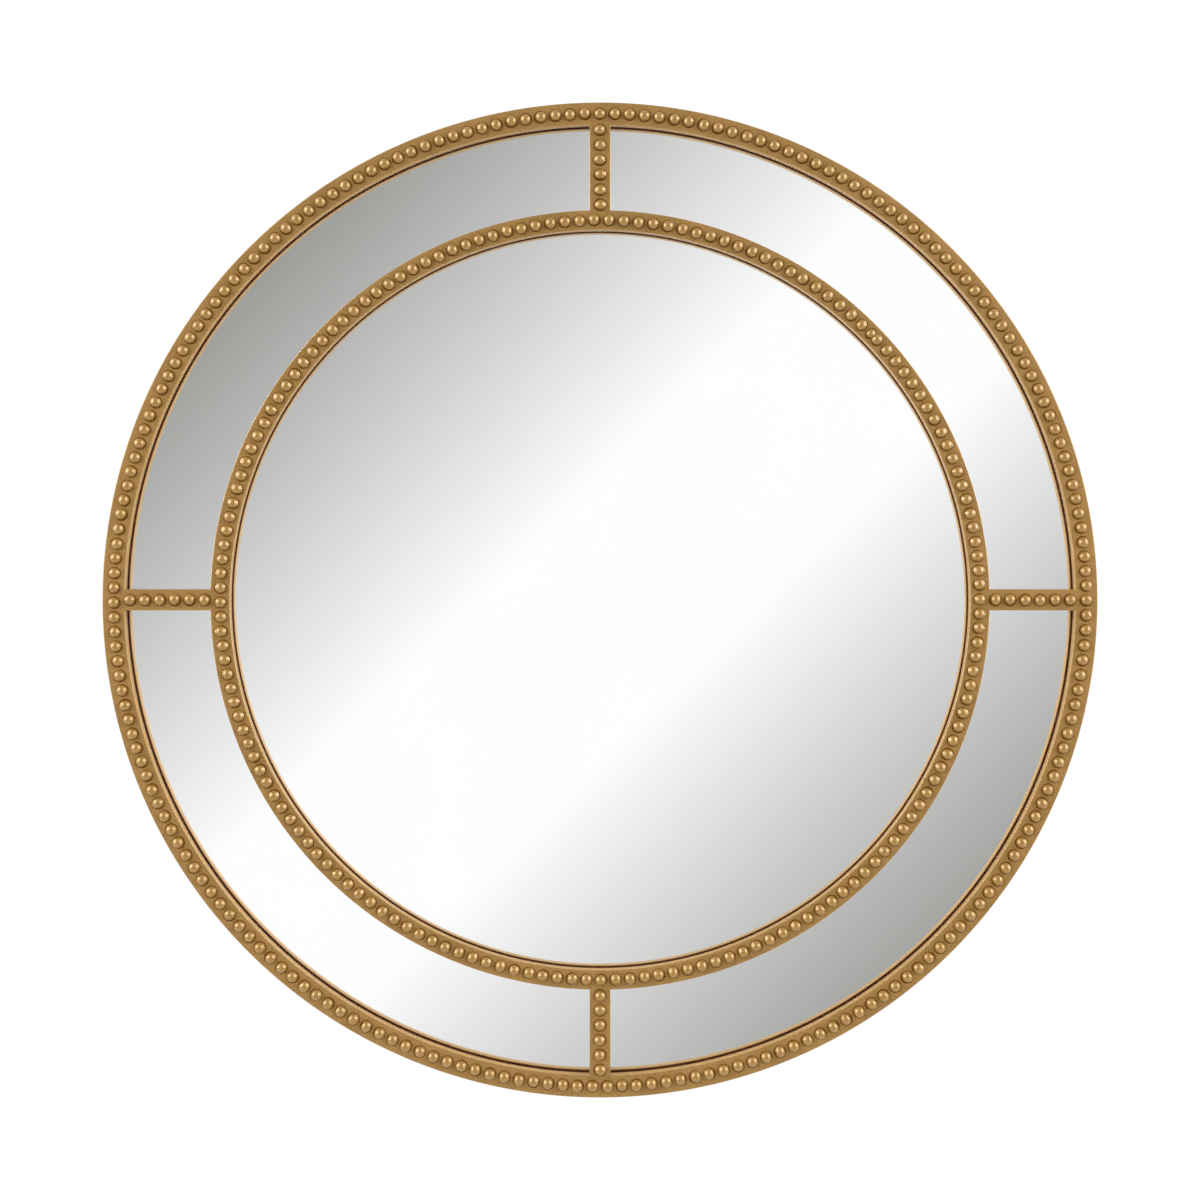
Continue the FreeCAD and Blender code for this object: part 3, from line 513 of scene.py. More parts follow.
def domes(places, turns, radii, heights, sink, draw, uneven):
    """Domes on the front face at places (x, z), each a template scaled, leaned and made uneven.

    A template point (p, q, h) stands at place + radius (p e + q f) + lean h^2 across the face and
    at height h above it, where e and f are the place's own two directions. The last row is sunk.
    """
    template = dome_template()
    count, size = len(places), len(template)
    radii, heights = radii[:, None], heights[:, None]
    rough = 1 + uneven * draw.normal(size=(count, size)) * np.sqrt(template[:, 2].clip(0, 1))
    oval = 1 + uneven * 2 * draw.normal(size=(count, 1))
    lean = draw.normal(scale=uneven * 2, size=(count, 2)) * radii
    p = template[:, 0] * radii * rough * oval
    q = template[:, 1] * radii * rough / oval
    up = template[:, 2] * heights
    up[:, -DOME_SIDES:] = -sink
    across, along = np.cos(turns)[:, None], np.sin(turns)[:, None]
    rise = template[:, 2] ** 2
    x = places[:, :1] + p * across - q * along + lean[:, :1] * rise
    z = places[:, 1:] + p * along + q * across + lean[:, 1:] * rise
    points = np.stack([x, -(FRONT + up), z], -1)
    starts = np.arange(count)[:, None, None] * size
    blocks = [(block + starts).reshape(-1, block.shape[1]) for block in dome_faces()]
    return points, blocks


def jittered(places, turns, sizes, draw, settle=1):
    """Beads that wander a little, differ in size and never stand higher than the model's."""
    count = len(places)
    wander = sizes.bead_wander / CUT_OFF * draw.normal(size=(count, 2)).clip(-CUT_OFF, CUT_OFF)
    width = 1 - NARROWER * np.abs(draw.normal(size=count)).clip(0, CUT_OFF)
    height = 1 - LOWER * draw.uniform(size=count)
    radii = sizes.bead_radius * width * settle
    heights = (BEAD_TOP - FRONT) * height * settle
    return domes(places + wander, turns, radii, heights, sizes.bead_sink, draw, BEAD_UNEVEN)


def ribbon_outline(middle, sizes):
    """The part of the ribbon that shows: a low band, its foot sunk as deep as the beads."""
    left, right = middle - sizes.ribbon_width / 2, middle + sizes.ribbon_width / 2
    low, high = FRONT - sizes.bead_sink, FRONT + sizes.ribbon_rise
    corners = [(left, low), (left, high), (right, high), (right, low)]
    return eased(corners, sizes.ribbon_rise, steps=2)


def strip(name, node, beads, band, closed, numbers, across, finishes):
    """Beads and the ribbon below them, which is painted as the frame is.

    The ribbon's lanes count the beads along it and give its outline's distance from their circle.
    """
    lanes = np.stack(np.meshgrid(numbers, np.append(across, across[0])), -1)
    band_blocks, band_maps = skin(band, closed, lanes)
    points, blocks = joined(beads, (band, band_blocks))
    maps = [np.zeros((*block.shape, 2)) for block in beads[1]] + band_maps
    item = make_piece(name, points, blocks, finishes[0], [node], maps, sharp=50)
    item.data.materials.append(finishes[1])
    bead_faces = sum(len(block) for block in beads[1])
    index = (np.arange(len(item.data.polygons)) >= bead_faces).astype(np.int32)
    item.data.polygons.foreach_set("material_index", index)
    return item


def round_strip(name, node, circle, pairs, seed, sizes, finishes, settle=1):
    """A strip of beads bent round a ring, on its ribbon."""
    draw = np.random.default_rng(seed)
    count = pairs[-1][0]
    turns = bead_turns(pairs, np.arange(count))
    places = circle * np.stack([np.cos(turns), np.sin(turns)], -1)
    beads = jittered(places, turns, sizes, draw, settle)
    numbers = np.linspace(0, count, count * COLUMNS_PER_BEAD + 1)
    outline = ribbon_outline(circle, sizes)
    band = turned(outline, bead_turns(pairs, numbers[:-1]))
    across = (outline[:, 0] - circle) / (2 * math.pi * circle / count)
    return strip(name, node, beads, band, (True, True), numbers, across, finishes)


def outer_beads(sizes, finishes):
    circle = outer_circle(sizes)
    return round_strip(
        "outer_beads", "outer_bead_strip", circle, OUTER_STRIP, OUTER_SEED, sizes, finishes
    )


def inner_beads(sizes, finishes):
    """The last bead is a small one, squeezed in beside the first."""
    settle = np.ones(INNER_STRIP[-1][0])
    settle[-1] = LAST_BEAD
    circle = inner_circle(sizes)
    return round_strip(
        "inner_beads", "inner_bead_strip", circle, INNER_STRIP, INNER_SEED, sizes, finishes, settle
    )


def spoke_strip(side, sizes, finishes):
    """A short straight strip, its ribbon ending against both rings."""
    turn = SPOKE_TURNS[side]
    draw = np.random.default_rng(SPOKE_SEEDS[side])
    x = first_spoke_bead(sizes) + sizes.spoke_pitch * np.arange(sizes.spoke_beads)
    places = np.stack([x, np.zeros_like(x)], -1)
    points, blocks = jittered(places, np.zeros_like(x), sizes, draw)
    outline = ribbon_outline(0, sizes)
    share = np.linspace(0, 1, sizes.spoke_beads * COLUMNS_PER_BEAD + 1)
    along = INNER_RADIUS + share * (OUTER_RADIUS - sizes.outer_face - INNER_RADIUS)
    across, depth = outline[:, :1], outline[:, 1:]
    band = np.stack([along + 0 * across, -depth + 0 * along, across + 0 * along], -1)
    name, node = f"spoke_{side}_beads", f"spoke_beads_{side}"
    beads, band = (spun(points, turn), blocks), spun(band, turn)
    numbers, across = (along - x[0]) / sizes.spoke_pitch, across[:, 0] / sizes.spoke_pitch
    return strip(name, node, beads, band, (True, False), numbers, across, finishes)


# The panes
CENTRE_COLUMNS = 360
QUARTER_COLUMNS = 96
# The normal of a face in the back plane reaches this along Y
BACK_FACING = 0.999


def silvered(item, coating):
    """Gives the faces in the back plane of a pane their coating."""
    mesh = item.data
    mesh.materials.append(coating)
    normals = np.empty(len(mesh.polygons) * 3, np.float32)
    mesh.polygons.foreach_get("normal", normals)
    back = normals.reshape(-1, 3)[:, 1] > BACK_FACING
    mesh.polygons.foreach_set("material_index", back.astype(np.int32))
    mesh.update()
    return item


def centre_pane(sizes, glass, coating):
    """A disc of glass with a ground arris, its edge carried round the axis."""
    radius, arris = CENTRE_PANE_RADIUS, sizes.arris
    back = GLASS_BACK + sizes.coat_lift
    corners = [
        (radius - arris, GLASS_FRONT),
        (radius, GLASS_FRONT - arris),
        (radius, back + arris),
        (radius - arris, back),
    ]
    turns = np.linspace(0, 2 * math.pi, CENTRE_COLUMNS, endpoint=False)
    grid = turned(np.array(corners), turns)
    blocks, _ = skin(grid, (False, True))
    item = make_piece("centre_pane", grid, blocks, glass, ["centre_mirror"])
    return silvered(item, coating)


def quarter_pane(name, sizes, glass, coating):
    """A quarter of a ring of glass.

    At radius r its turns run from asin(s / r) to 90 degrees less that, where s is the distance of
    its straight sides from the middles of the spokes.
    """
    outer = OUTER_RADIUS - sizes.outer_face + sizes.lip_overlap - sizes.pane_gap
    inner = INNER_RADIUS - sizes.heel_overlap + sizes.pane_gap
    arris, back = sizes.arris, GLASS_BACK + sizes.coat_lift
    corners = [
        (inner + arris, GLASS_FRONT),
        (outer - arris, GLASS_FRONT),
        (outer, GLASS_FRONT - arris),
        (outer, back + arris),
        (outer - arris, back),
        (inner + arris, back),
        (inner, back + arris),
        (inner, GLASS_FRONT - arris),
    ]
    outline = np.array(corners)
    start = np.arcsin(PANE_SIDE / outline[:, :1])
    share = np.linspace(0, 1, QUARTER_COLUMNS)
    grid = turned(outline, start + share * (math.pi / 2 - 2 * start))
    blocks, _ = skin(grid, (True, False))
    points = spun(grid, QUARTER_TURNS[name])
    item = make_piece(
        f"quarter_pane_{name}", points, blocks, glass, [f"quarter_mirror_{name}"]
    )
    return silvered(item, coating)


# The back
BUMPER_COLUMNS = 40
BUMPER_EASE = 0.9 * MM
BUMPER_DISH = 0.35 * MM
# A bumper's outline: its hollow in shares of the wall radius and of the dish, then its edges at the
# wall and at the panel, in easings out from the bumper's radius there and along its height
HOLLOW = ((0.35, 1), (0.62, 0.6))
WALL_EDGE = ((-1.2, 0), (-0.5, 0.1), (-0.1, 0.5), (0.1, 1.2))
PANEL_EDGE = ((-0.3, -1.3), (0, -0.6), (0, 0))


def bumpers(sizes, finish):
    """Four tapered rubber feet at the corners of the wall_bumpers node's box, carried round."""
    _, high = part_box("wall_bumpers")
    rim, foot = sizes.bumper_radius, sizes.bumper_foot
    hollow = np.array(HOLLOW) * (rim, BUMPER_DISH)
    at_wall = np.array(WALL_EDGE) * BUMPER_EASE + (rim, 0)
    at_panel = np.array(PANEL_EDGE) * BUMPER_EASE + (foot, PANEL_BACK)
    outline = np.concatenate([hollow, at_wall, at_panel])
    grid = turned(outline, np.linspace(0, 2 * math.pi, BUMPER_COLUMNS, endpoint=False))
    blocks, _ = skin(grid, (False, True))
    place = np.array([high.x - foot, 0, high.z - foot])
    hands = [(across, 0, up) for across in (-1, 1) for up in (-1, 1)]
    points, blocks = joined(*((grid + place * hand, blocks) for hand in hands))
    nodes = ["wall_bumpers"]
    return make_piece("rubber_feet", points, blocks, finish, nodes, sharp=60)


# Finishes
WHITE = (*linear("#ffffff"), 1)
# Where the lane's second coordinate passes this, only the outside of the rim is left
RIM_LANE = 0.72
# The umber glaze and painted contact shade round a bead in spacings of the beads: solid up to the
# first distance and gone by the second, and less wide by the grain's share
LANE_GLAZE_AND_SHADE = 0.46, 0.50
GRAIN_SHARE = 0.10
# Places along Y between which a layer of the frame's paint changes. Paler gold, painted light,
# begins at the edges, and brown primer, painted shade on the walls, above the glass. The varnish
# gathers at the edges and thins again.
PAINTED_LIGHT_DEPTHS = -FRONT + 0.1 * MM, -FRONT + 0.5 * MM
PRIMER_AND_SHADE_DEPTHS = -GLASS_FRONT - 2.9 * MM, -GLASS_FRONT - 1.7 * MM
VARNISH_GATHERS = -FRONT + 0.02 * MM, -FRONT + 0.1 * MM
VARNISH_THINS = -FRONT + 0.5 * MM, -FRONT + 0.9 * MM
THIN_VARNISH = 0.12
# The glaze and painted shade at the foot of a bead wander with the grain, whose middle is a half,
# and as painted shade under light from above stand this much higher underneath. They are solid up
# to 0.8 mm above the front and gone at 1.5 mm.
GLAZE_AND_SHADE_WANDER = 0.9 * MM
UNDERSIDE_SHADE_RUN = 0.9 * MM
BEAD_GLAZE_AND_SHADE = [-FRONT + GLAZE_AND_SHADE_WANDER / 2 - height * MM for height in (1.5, 0.8)]


def per(millimetres):
    """The noise scale whose features are that wide on Object coordinates."""
    return 1 / (millimetres * MM)


def rgba(colour):
    return (*colour, 1)


def add(tree, kind, inputs=(), **settings):
    """Adds a node with its settings and links.

    A dictionary gives inputs by name, and a list gives those in use in their order. An input is a
    value, a socket, or a node of which the first output in use is meant.
    """
    node = tree.nodes.new("ShaderNode" + kind)
    for name, value in settings.items():
        setattr(node, name, value)
    if isinstance(inputs, dict):
        pairs = [(node.inputs[name], value) for name, value in inputs.items()]
    else:
        pairs = zip([socket for socket in node.inputs if socket.enabled], inputs)
    for socket, value in pairs:
        if isinstance(value, bpy.types.Node):
            value = next(output for output in value.outputs if output.enabled)
        if isinstance(value, bpy.types.NodeSocket):
            tree.links.new(value, socket)
        else:
            socket.default_value = value
    return node


def make_finish(recipe, colours, name=None, **details):
    """A material whose recipe adds its nodes and gives back its shader."""
    material = bpy.data.materials.new(name or recipe.__name__)
    material.use_nodes = True
    tree = material.node_tree
    tree.nodes.clear()
    place = add(tree, "TexCoord").outputs["Object"]
    add(tree, "OutputMaterial", {"Surface": recipe(tree, place, colours, **details)})
    return material


def lane_glaze_and_shade(tree, grain):
    """Glaze and painted contact shade round each bead's foot, and in links between some of them."""
    beads, across, _ = add(tree, "SeparateXYZ", [add(tree, "UVMap", uv_map="lane")]).outputs
    shifted = add(tree, "Math", [beads, 0.5], operation="ADD")
    fraction = add(tree, "Math", [shifted], operation="FRACT")
    along = add(tree, "Math", [fraction, 0.5], operation="SUBTRACT")
    spot = add(tree, "CombineXYZ", [along, across])
    distance = add(tree, "VectorMath", [spot], operation="LENGTH")
    uneven = add(tree, "Math", [grain, GRAIN_SHARE, distance], operation="MULTIPLY_ADD")
    ends = [uneven, *LANE_GLAZE_AND_SHADE, 1.0, 0.0]
    return add(tree, "MapRange", ends, interpolation_type="SMOOTHSTEP")


def inner_sides(tree, place):
    """How far a point lies in painted light, in primer and painted shade, and in varnish.

    The edges and the sides facing the glass are painted paler as painted light, which gives way
    near the glass to brown primer, painted shade there. Varnish gathered along the front edges.
    The outside of the rim, the widest part of the lane, has none of these.
    """
    depth = add(tree, "SeparateXYZ", [place]).outputs[1]
    across = add(tree, "SeparateXYZ", [add(tree, "UVMap", uv_map="lane")]).outputs[1]
    inside = add(tree, "Math", [across, RIM_LANE], operation="LESS_THAN")
    painted_light = add(tree, "MapRange", [depth, *PAINTED_LIGHT_DEPTHS, 0.0, inside])
    primer_and_shade = add(tree, "MapRange", [depth, *PRIMER_AND_SHADE_DEPTHS, 0.0, inside])
    gathered = add(tree, "MapRange", [depth, *VARNISH_GATHERS, THIN_VARNISH, inside])
    varnish = add(tree, "MapRange", [depth, *VARNISH_THINS, gathered, THIN_VARNISH])
    return painted_light, primer_and_shade, varnish


def antique_gold_paint(tree, place, colours):
    """Brass-flake paint brushed over primed fibreboard.

    The flake gives a soft metal sheen with a fine grain. Glaze and painted shade stay round the
    beads, and the edges and walls carry painted light.
    """
    # Flake clumps of 1.4 mm, drawn coarser than the real 0.1 mm flake so that they show
    grain = add(
        tree, "TexNoise", {"Vector": place, "Scale": per(1.4), "Detail": 3.0, "Roughness": 0.7}
    )
    # Brush drifts of 30 mm
    drift = add(tree, "TexNoise", {"Vector": place, "Scale": per(30), "Detail": 2.0})
    # Three parts of grain to one of drift
    blend = add(tree, "Math", [grain, 0.75], operation="MULTIPLY")
    level = add(tree, "Math", [drift, 0.25, blend], operation="MULTIPLY_ADD")
    thin = add(tree, "MapRange", [level, 0.38, 0.62, 0.0, 1.0])
    painted_light, primer_and_shade, varnish = inner_sides(tree, place)
    # Over the gold: thinner flake at random, painted light on the edges and walls, glaze and
    # painted shade round the beads, and primer that is painted shade at the foot of the walls
    layers = (
        (thin, colours.gold_shade),
        (painted_light, colours.painted_light_gold),
        (lane_glaze_and_shade(tree, grain), colours.glaze_and_shade),
        (primer_and_shade, colours.primer_and_shade),
    )
    tone = rgba(colours.gold)
    for cover, layer in layers:
        tone = add(tree, "Mix", [cover, tone, rgba(layer)], data_type="RGBA")
    metal = add(tree, "MapRange", [primer_and_shade, 0.0, 1.0, 0.6, 0.0])
    rough = add(tree, "MapRange", [grain, 0.3, 0.7, 0.40, 0.50])
    bump = add(tree, "Bump", {"Strength": 0.15, "Distance": 0.06 * MM, "Height": grain})
    return add(
        tree,
        "BsdfPrincipled",
        {
            "Base Color": tone,
            "Metallic": metal,
            "Roughness": rough,
            "Specular IOR Level": 0.05,
            "Coat Weight": varnish,
            "Coat Roughness": 0.25,
            "Normal": bump,
        },
    )


def burnished_gold_paint(tree, place, colours):
    """The same paint on turned beads, rubbed bright, with glaze and painted shade at the foot.

    The painted shade stands higher on the undersides, where light from above leaves them darker.
    """
    # Rubbed patches of 7 mm, so that no two beads shine alike
    rub = add(tree, "TexNoise", {"Vector": place, "Scale": per(7), "Detail": 2.0})
    # Flake clumps of 1.2 mm, drawn coarser than the real 0.1 mm flake so that they show
    grain = add(
        tree, "TexNoise", {"Vector": place, "Scale": per(1.2), "Detail": 2.0, "Roughness": 0.6}
    )
    depth = add(tree, "SeparateXYZ", [place]).outputs[1]
    upward = add(tree, "SeparateXYZ", [add(tree, "TexCoord").outputs["Normal"]]).outputs[2]
    uneven = add(tree, "Math", [grain, GLAZE_AND_SHADE_WANDER, depth], operation="MULTIPLY_ADD")
    # Painted shade: the glaze reaches higher where the bead faces down, as under light from above
    shade_run = add(tree, "Math", [upward, -UNDERSIDE_SHADE_RUN, uneven], operation="MULTIPLY_ADD")
    ends = [shade_run, *BEAD_GLAZE_AND_SHADE, 0.0, 1.0]
    glaze_and_shade = add(tree, "MapRange", ends, interpolation_type="SMOOTHSTEP")
    tone = rgba(colours.burnish)
    for cover, layer in ((rub, colours.burnish_shade), (glaze_and_shade, colours.glaze_and_shade)):
        tone = add(tree, "Mix", [cover, tone, rgba(layer)], data_type="RGBA")
    rough = add(tree, "MapRange", [rub, 0.3, 0.7, 0.30, 0.38])
    bump = add(tree, "Bump", {"Strength": 0.2, "Distance": 0.12 * MM, "Height": rub})
    return add(
        tree,
        "BsdfPrincipled",
        {
            "Base Color": tone,
            "Metallic": 0.2,
            "Roughness": rough,
            "Specular IOR Level": 0.6,
            "Specular Tint": rgba(colours.sheen),
            "Coat Weight": 0.95,
            "Coat Roughness": 0.22,
            "Normal": bump,
        },
    )


def float_glass(tree, place, colours):
    """Clear float glass 4 mm thick with ground edges: colourless in front, faintly green inside."""
    clear = {"Roughness": 0.0, "IOR": 1.5, "Transmission Weight": 1.0}
    return add(tree, "BsdfPrincipled", {"Base Color": rgba(colours.glass), **clear})


def silver_coating(tree, place, colours):
    """Chemically deposited silver behind the glass: a bright mirror, very faintly cloudy."""
    # Clouds of 120 mm from the rinsing of the coating
    cloud = add(tree, "TexNoise", {"Vector": place, "Scale": per(120), "Detail": 1.0})
    dimmer = [c * 0.985 for c in colours.silver]
    tone = add(tree, "Mix", [cloud, rgba(colours.silver), rgba(dimmer)], data_type="RGBA")
    return add(tree, "BsdfPrincipled", {"Base Color": tone, "Metallic": 1.0, "Roughness": 0.0})


def raw_fibreboard(tree, place, colours):
    """Unpainted pressed wood fibre: warm brown, matt, with short dark fibres and a felted touch."""
    # Fibre bundles of 1.5 mm over clouds of 45 mm
    fibre = add(
        tree, "TexNoise", {"Vector": place, "Scale": per(1.5), "Detail": 4.0, "Roughness": 0.75}
    )
    cloud = add(tree, "TexNoise", {"Vector": place, "Scale": per(45), "Detail": 2.0})
    level = add(tree, "Math", [cloud, 0.2, fibre], operation="MULTIPLY_ADD")
    dark = add(tree, "MapRange", [level, 0.42, 0.82, 0.0, 1.0])
    tones = rgba(colours.board), rgba(colours.board_fibre)
    tone = add(tree, "Mix", [dark, *tones], data_type="RGBA")
    rough = add(tree, "MapRange", [fibre, 0.3, 0.7, 0.75, 0.9])
    bump = add(tree, "Bump", {"Strength": 0.35, "Distance": 0.08 * MM, "Height": fibre})
    return add(tree, "BsdfPrincipled", {"Base Color": tone, "Roughness": rough, "Normal": bump})


def zinc_plate(tree, place, colours, patch, roughness):
    """Bright zinc on steel: silvery, softly mirrored, with faintly yellow passivated patches.

    patch is the width of the patches in millimetres, and roughness that of the brightest places.
    """
    tint = add(tree, "TexNoise", {"Vector": place, "Scale": per(patch), "Detail": 2.0})
    # Handling marks of 0.5 mm, drawn coarser than they are so that they show
    marks = add(tree, "TexNoise", {"Vector": place, "Scale": per(0.5), "Detail": 2.0})
    spread = add(tree, "MapRange", [tint, 0.35, 0.65, 0.0, 1.0])
    tones = rgba(colours.zinc), rgba(colours.zinc_tint)
    tone = add(tree, "Mix", [spread, *tones], data_type="RGBA")
    rough = add(tree, "MapRange", [tint, 0.3, 0.7, roughness, roughness + 0.12])
    bump = add(tree, "Bump", {"Strength": 0.12, "Distance": 0.02 * MM, "Height": marks})
    return add(
        tree,
        "BsdfPrincipled",
        {"Base Color": tone, "Metallic": 1.0, "Roughness": rough, "Normal": bump},
    )


def moulded_rubber(tree, place, colours):
    """Black moulded rubber: matt, with a fine grain and grey dust in it."""
    # Grain of 0.8 mm, drawn coarser than the mould's so that it shows
    grain = add(tree, "TexNoise", {"Vector": place, "Scale": per(0.8), "Detail": 3.0})
    paler = [min(1, c * 1.8 + 0.01) for c in colours.rubber]
    dust = add(tree, "MapRange", [grain, 0.5, 0.75, 0.0, 0.6])
    tone = add(tree, "Mix", [dust, rgba(colours.rubber), rgba(paler)], data_type="RGBA")
    rough = add(tree, "MapRange", [grain, 0.3, 0.7, 0.6, 0.75])
    bump = add(tree, "Bump", {"Strength": 0.2, "Distance": 0.05 * MM, "Height": grain})
    return add(tree, "BsdfPrincipled", {"Base Color": tone, "Roughness": rough, "Normal": bump})


def foam_tape(tree, place, colours):
    """White polyethylene foam: closed cells of 0.6 mm that show on its cut edges."""
    cells = add(tree, "TexVoronoi", {"Vector": place, "Scale": per(0.6)})
    darker = [c * 0.8 for c in colours.foam]
    tone = add(tree, "Mix", [cells, rgba(colours.foam), rgba(darker)], data_type="RGBA")
    bump = add(tree, "Bump", {"Strength": 0.4, "Distance": 0.1 * MM, "Height": cells})
    return add(tree, "BsdfPrincipled", {"Base Color": tone, "Roughness": 0.85, "Normal": bump})


def studio_floor(tree, place, colours):
    """A pale matt floor with the faint mottle of poured screed."""
    # Mottle of 60 mm
    mottle = add(tree, "TexNoise", {"Vector": place, "Scale": per(60), "Detail": 3.0})
    darker = [c * 0.93 for c in colours.floor]
    tone = add(tree, "Mix", [mottle, rgba(colours.floor), rgba(darker)], data_type="RGBA")
    return add(tree, "BsdfPrincipled", {"Base Color": tone, "Roughness": 0.9})


def dress_nodes(names, finish):
    """Gives CAD nodes a finish in each of their slots."""
    for name in names:
        for slot in frame["nodes"][name].material_slots:
            slot.material = finish


# The studio
# The camera's distance from the front of the frame, and its height above the middle
CAMERA_DISTANCE = 1.5309
CAMERA_UP = 0.045
CAMERA_LENS = 50
CAMERA_SENSOR = 36
FLOOR_DROP = 1.45
FLOOR_WIDTH = 6
FLOOR_NEAR = -3
FLOOR_FAR = 1
SOFTBOX_DISTANCE = 4
# The lamps' turn from the mirror's axis, and the parts of it that lead across and up
SOFTBOX_TURN = math.radians(66)
SOFTBOX_ACROSS = 0.933
SOFTBOX_UP = 0.36
SOFTBOX_SIZE = (3.0, 3.8)
SOFTBOX_WATTS = 225
# Ambient light from low and from high, reached at this rise of the ray
AMBIENT_LOW = 0.25
AMBIENT_HIGH = 0.95
AMBIENT_RISE = 0.6
# The room that the panes reflect: a white band along one diagonal, falling off on both sides of it
# and opening to white walls further out, where only the paint reflects it. The values are display
# levels against the slope of the reflected ray.
DISPLAY_GAMMA = 2.2
BAND_MIDDLE = 0.0295
BAND_HALF = 0.0582
LEVEL_PER_SLOPE = 1.634
DARKEST_LEVEL = 0.55
OPEN_FROM = 0.36
OPEN_BY = 0.75
OPEN_LEVEL = 0.95


def camera():
    data = bpy.data.cameras.new("camera")
    data.lens = CAMERA_LENS
    data.sensor_width = CAMERA_SENSOR
    # The photograph shows more of the lower inner walls, so its camera stood above the middle
    data.shift_y = -CAMERA_UP / CAMERA_DISTANCE * CAMERA_LENS / CAMERA_SENSOR
    item = placed("camera", data)
    item.location = (0, -(FRONT + CAMERA_DISTANCE), CAMERA_UP)
    item.rotation_euler = (math.pi / 2, 0, 0)
    bpy.context.scene.camera = item


def softbox(side):
    """A large soft lamp beside and above the mirror, aimed at its middle."""
    data = bpy.data.lights.new(f"softbox_{side}", "AREA")
    data.shape = "RECTANGLE"
    data.size, data.size_y = SOFTBOX_SIZE
    data.energy = SOFTBOX_WATTS
    item = placed(data.name, data)
    hand = -1 if side == "left" else 1
    out = math.sin(SOFTBOX_TURN) * SOFTBOX_DISTANCE
    ahead = math.cos(SOFTBOX_TURN) * SOFTBOX_DISTANCE
    item.location = (hand * SOFTBOX_ACROSS * out, -ahead, SOFTBOX_UP * out)
    item.rotation_euler = (-item.location).to_track_quat("-Z", "Y").to_euler()
    item.visible_camera = False


def world(colours):
    """White to the camera, a diagonal gradient to glass and metal, and light mostly from above."""
    sky = bpy.data.worlds.new("studio")
    bpy.context.scene.world = sky
    sky.use_nodes = True
    tree = sky.node_tree
    tree.nodes.clear()
    # How steeply the ray crosses the white band
    x, y, z = add(tree, "SeparateXYZ", [add(tree, "TexCoord").outputs["Generated"]]).outputs
    depth = add(tree, "Math", [y], operation="ABSOLUTE")
    fall = add(tree, "Math", [x, z], operation="SUBTRACT")
    diagonal = add(tree, "Math", [fall, 1 / math.sqrt(2)], operation="MULTIPLY")
    slope = add(tree, "Math", [diagonal, depth], operation="DIVIDE")
    beside = add(tree, "Math", [slope, BAND_MIDDLE], operation="SUBTRACT")
    steep = add(tree, "Math", [beside], operation="ABSOLUTE")
    dark_slope = BAND_HALF + (1 - DARKEST_LEVEL) / LEVEL_PER_SLOPE
    level = add(tree, "MapRange", [steep, BAND_HALF, dark_slope, 1.0, DARKEST_LEVEL])
    opened = add(tree, "MapRange", [steep, OPEN_FROM, OPEN_BY, level, OPEN_LEVEL])
    light = add(tree, "Math", [opened, DISPLAY_GAMMA], operation="POWER")
    white = add(tree, "MapRange", [light, DARKEST_LEVEL ** DISPLAY_GAMMA, 1.0, 0.0, 1.0])
    room = add(tree, "Mix", [white, rgba(colours.room), WHITE], data_type="RGBA")
    rays = add(tree, "LightPath").outputs
    bounced = [rays["Is Glossy Ray"], rays["Is Transmission Ray"]]
    mirrored = add(tree, "Math", bounced, operation="MAXIMUM")
    ambient = add(tree, "MapRange", [z, -AMBIENT_RISE, AMBIENT_RISE, AMBIENT_LOW, AMBIENT_HIGH])
    lit = add(tree, "Mix", [mirrored, ambient, room], data_type="RGBA")
    shown = add(tree, "Mix", [rays["Is Camera Ray"], lit, WHITE], data_type="RGBA")
    background = add(tree, "Background", {"Color": shown, "Strength": 1.0})
    add(tree, "OutputWorld", {"Surface": background})
    sky.cycles.sampling_method = "NONE"


def floor(colours):
    half = FLOOR_WIDTH / 2
    corners = ((-half, FLOOR_NEAR), (half, FLOOR_NEAR), (half, FLOOR_FAR), (-half, FLOOR_FAR))
    mesh = bpy.data.meshes.new("studio_floor")
    mesh.from_pydata([(x, y, -FLOOR_DROP) for x, y in corners], [], [(0, 1, 2, 3)])
    mesh.materials.append(make_finish(studio_floor, colours))
    placed("studio_floor", mesh)


# Operators
def settings(context):
    return context.scene.mirror_sizes, context.scene.mirror_colours


class MIRROR_OT_studio(bpy.types.Operator):
    """Set up the camera, the soft lamps, the white surroundings and the floor"""

    bl_idname = "beaded_mirror.studio"
    bl_label = "Studio"

    def execute(self, context):
        _, colours = settings(context)
        camera()
        world(colours)
        for side in HANDS:
            softbox(side)
        floor(colours)
        context.scene.view_settings.view_transform = "Standard"
        return {"FINISHED"}


class MIRROR_OT_frame(bpy.types.Operator):
    """Make the two rings, the four spokes and the crumbs at a joint, in antique gold paint"""

    bl_idname = "beaded_mirror.frame"
    bl_label = "Rings and Spokes"

    def execute(self, context):
        sizes, colours = settings(context)
        finish = make_finish(antique_gold_paint, colours)
        outer_ring(sizes, finish)
        inner_ring(sizes, finish)
        for side in SPOKE_TURNS:
            spoke(side, sizes, finish)
        crumbs(finish)
        return {"FINISHED"}


class MIRROR_OT_beads(bpy.types.Operator):
    """Make the strips of beads on the rings and the spokes"""

    bl_idname = "beaded_mirror.beads"
    bl_label = "Beads"

    def execute(self, context):
        sizes, colours = settings(context)
        frame_paint = bpy.data.materials["antique_gold_paint"]
        finishes = make_finish(burnished_gold_paint, colours), frame_paint
        outer_beads(sizes, finishes)
        inner_beads(sizes, finishes)
        for side in SPOKE_TURNS:
            spoke_strip(side, sizes, finishes)
        return {"FINISHED"}


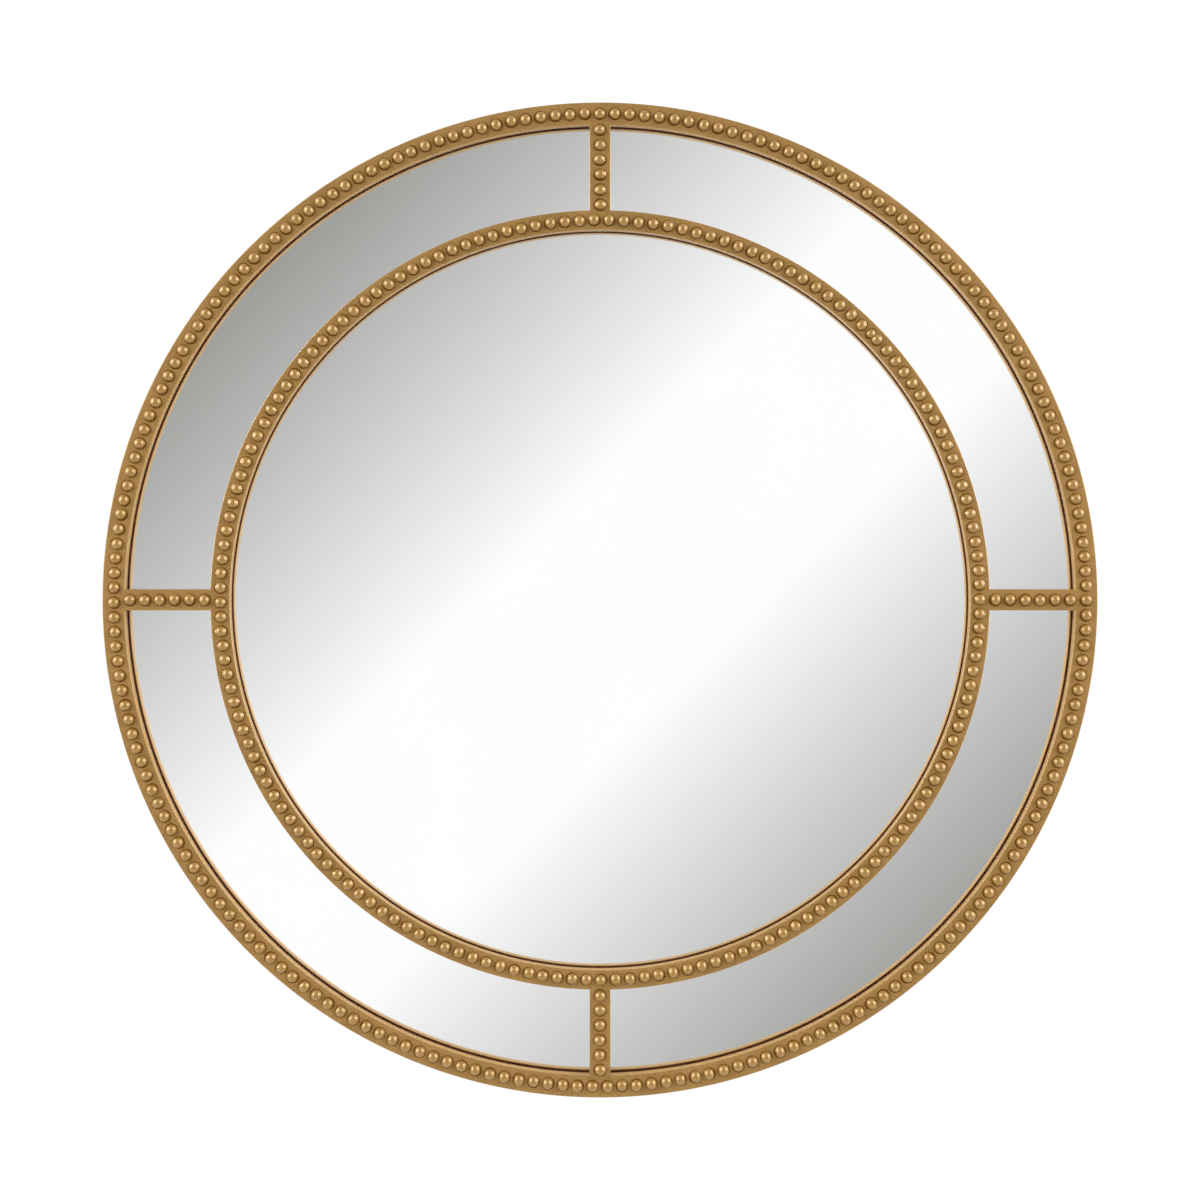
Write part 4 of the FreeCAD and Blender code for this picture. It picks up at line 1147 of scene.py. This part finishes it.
class MIRROR_OT_panes(bpy.types.Operator):
    """Make the five panes of silvered glass"""

    bl_idname = "beaded_mirror.panes"
    bl_label = "Panes"

    def execute(self, context):
        sizes, colours = settings(context)
        glass = make_finish(float_glass, colours)
        coating = make_finish(silver_coating, colours)
        centre_pane(sizes, glass, coating)
        for name in QUARTER_TURNS:
            quarter_pane(name, sizes, glass, coating)
        return {"FINISHED"}


class MIRROR_OT_back(bpy.types.Operator):
    """Finish the back panel, the foam tape under the panes and the rubber bumpers"""

    bl_idname = "beaded_mirror.back"
    bl_label = "Back"

    def execute(self, context):
        sizes, colours = settings(context)
        dress_nodes(["back_panel"], make_finish(raw_fibreboard, colours))
        pads = ["centre_mirror_pads", "quarter_mirror_pads"]
        dress_nodes(pads, make_finish(foam_tape, colours))
        bumpers(sizes, make_finish(moulded_rubber, colours))
        return {"FINISHED"}


class MIRROR_OT_hangers(bpy.types.Operator):
    """Finish the hangers, their swinging rings and all screws"""

    bl_idname = "beaded_mirror.hangers"
    bl_label = "Hangers and Screws"

    def execute(self, context):
        _, colours = settings(context)
        hangers = [f"hanger_{part}_{hand}" for part in ("strap", "ring") for hand in HANDS]
        steel = make_finish(zinc_plate, colours, "zinc_plated_steel", patch=6, roughness=0.26)
        dress_nodes(hangers, steel)
        screws = ["outer_ring_screws", "inner_ring_screws", "spoke_screws"]
        screws += [f"hanger_screws_{hand}" for hand in HANDS]
        finer = make_finish(zinc_plate, colours, "zinc_plated_screws", patch=2, roughness=0.32)
        dress_nodes(screws, finer)
        return {"FINISHED"}


STEPS = (
    MIRROR_OT_studio,
    MIRROR_OT_frame,
    MIRROR_OT_beads,
    MIRROR_OT_panes,
    MIRROR_OT_back,
    MIRROR_OT_hangers,
)


class MIRROR_PT_steps(bpy.types.Panel):
    """Lists the steps that finish the mirror, with its sizes and colours"""

    bl_idname = "MIRROR_PT_steps"
    bl_label = "Beaded Wall Mirror"
    bl_space_type = "VIEW_3D"
    bl_region_type = "UI"
    bl_category = "Mirror"

    def draw(self, context):
        for step in STEPS:
            self.layout.operator(step.bl_idname)
        for group in settings(context):
            column = self.layout.column()
            for name in group.__annotations__:
                column.prop(group, name)


CLASSES = (MirrorSizes, MirrorColours, *STEPS, MIRROR_PT_steps)


def register():
    for item in CLASSES:
        bpy.utils.register_class(item)
    bpy.types.Scene.mirror_sizes = PointerProperty(type=MirrorSizes)
    bpy.types.Scene.mirror_colours = PointerProperty(type=MirrorColours)


def unregister():
    del bpy.types.Scene.mirror_colours
    del bpy.types.Scene.mirror_sizes
    for item in reversed(CLASSES):
        bpy.utils.unregister_class(item)


def main():
    register()
    bpy.ops.beaded_mirror.studio()
    bpy.ops.beaded_mirror.frame()
    bpy.ops.beaded_mirror.beads()
    bpy.ops.beaded_mirror.panes()
    bpy.ops.beaded_mirror.back()
    bpy.ops.beaded_mirror.hangers()


if __name__ == "__main__":
    main()
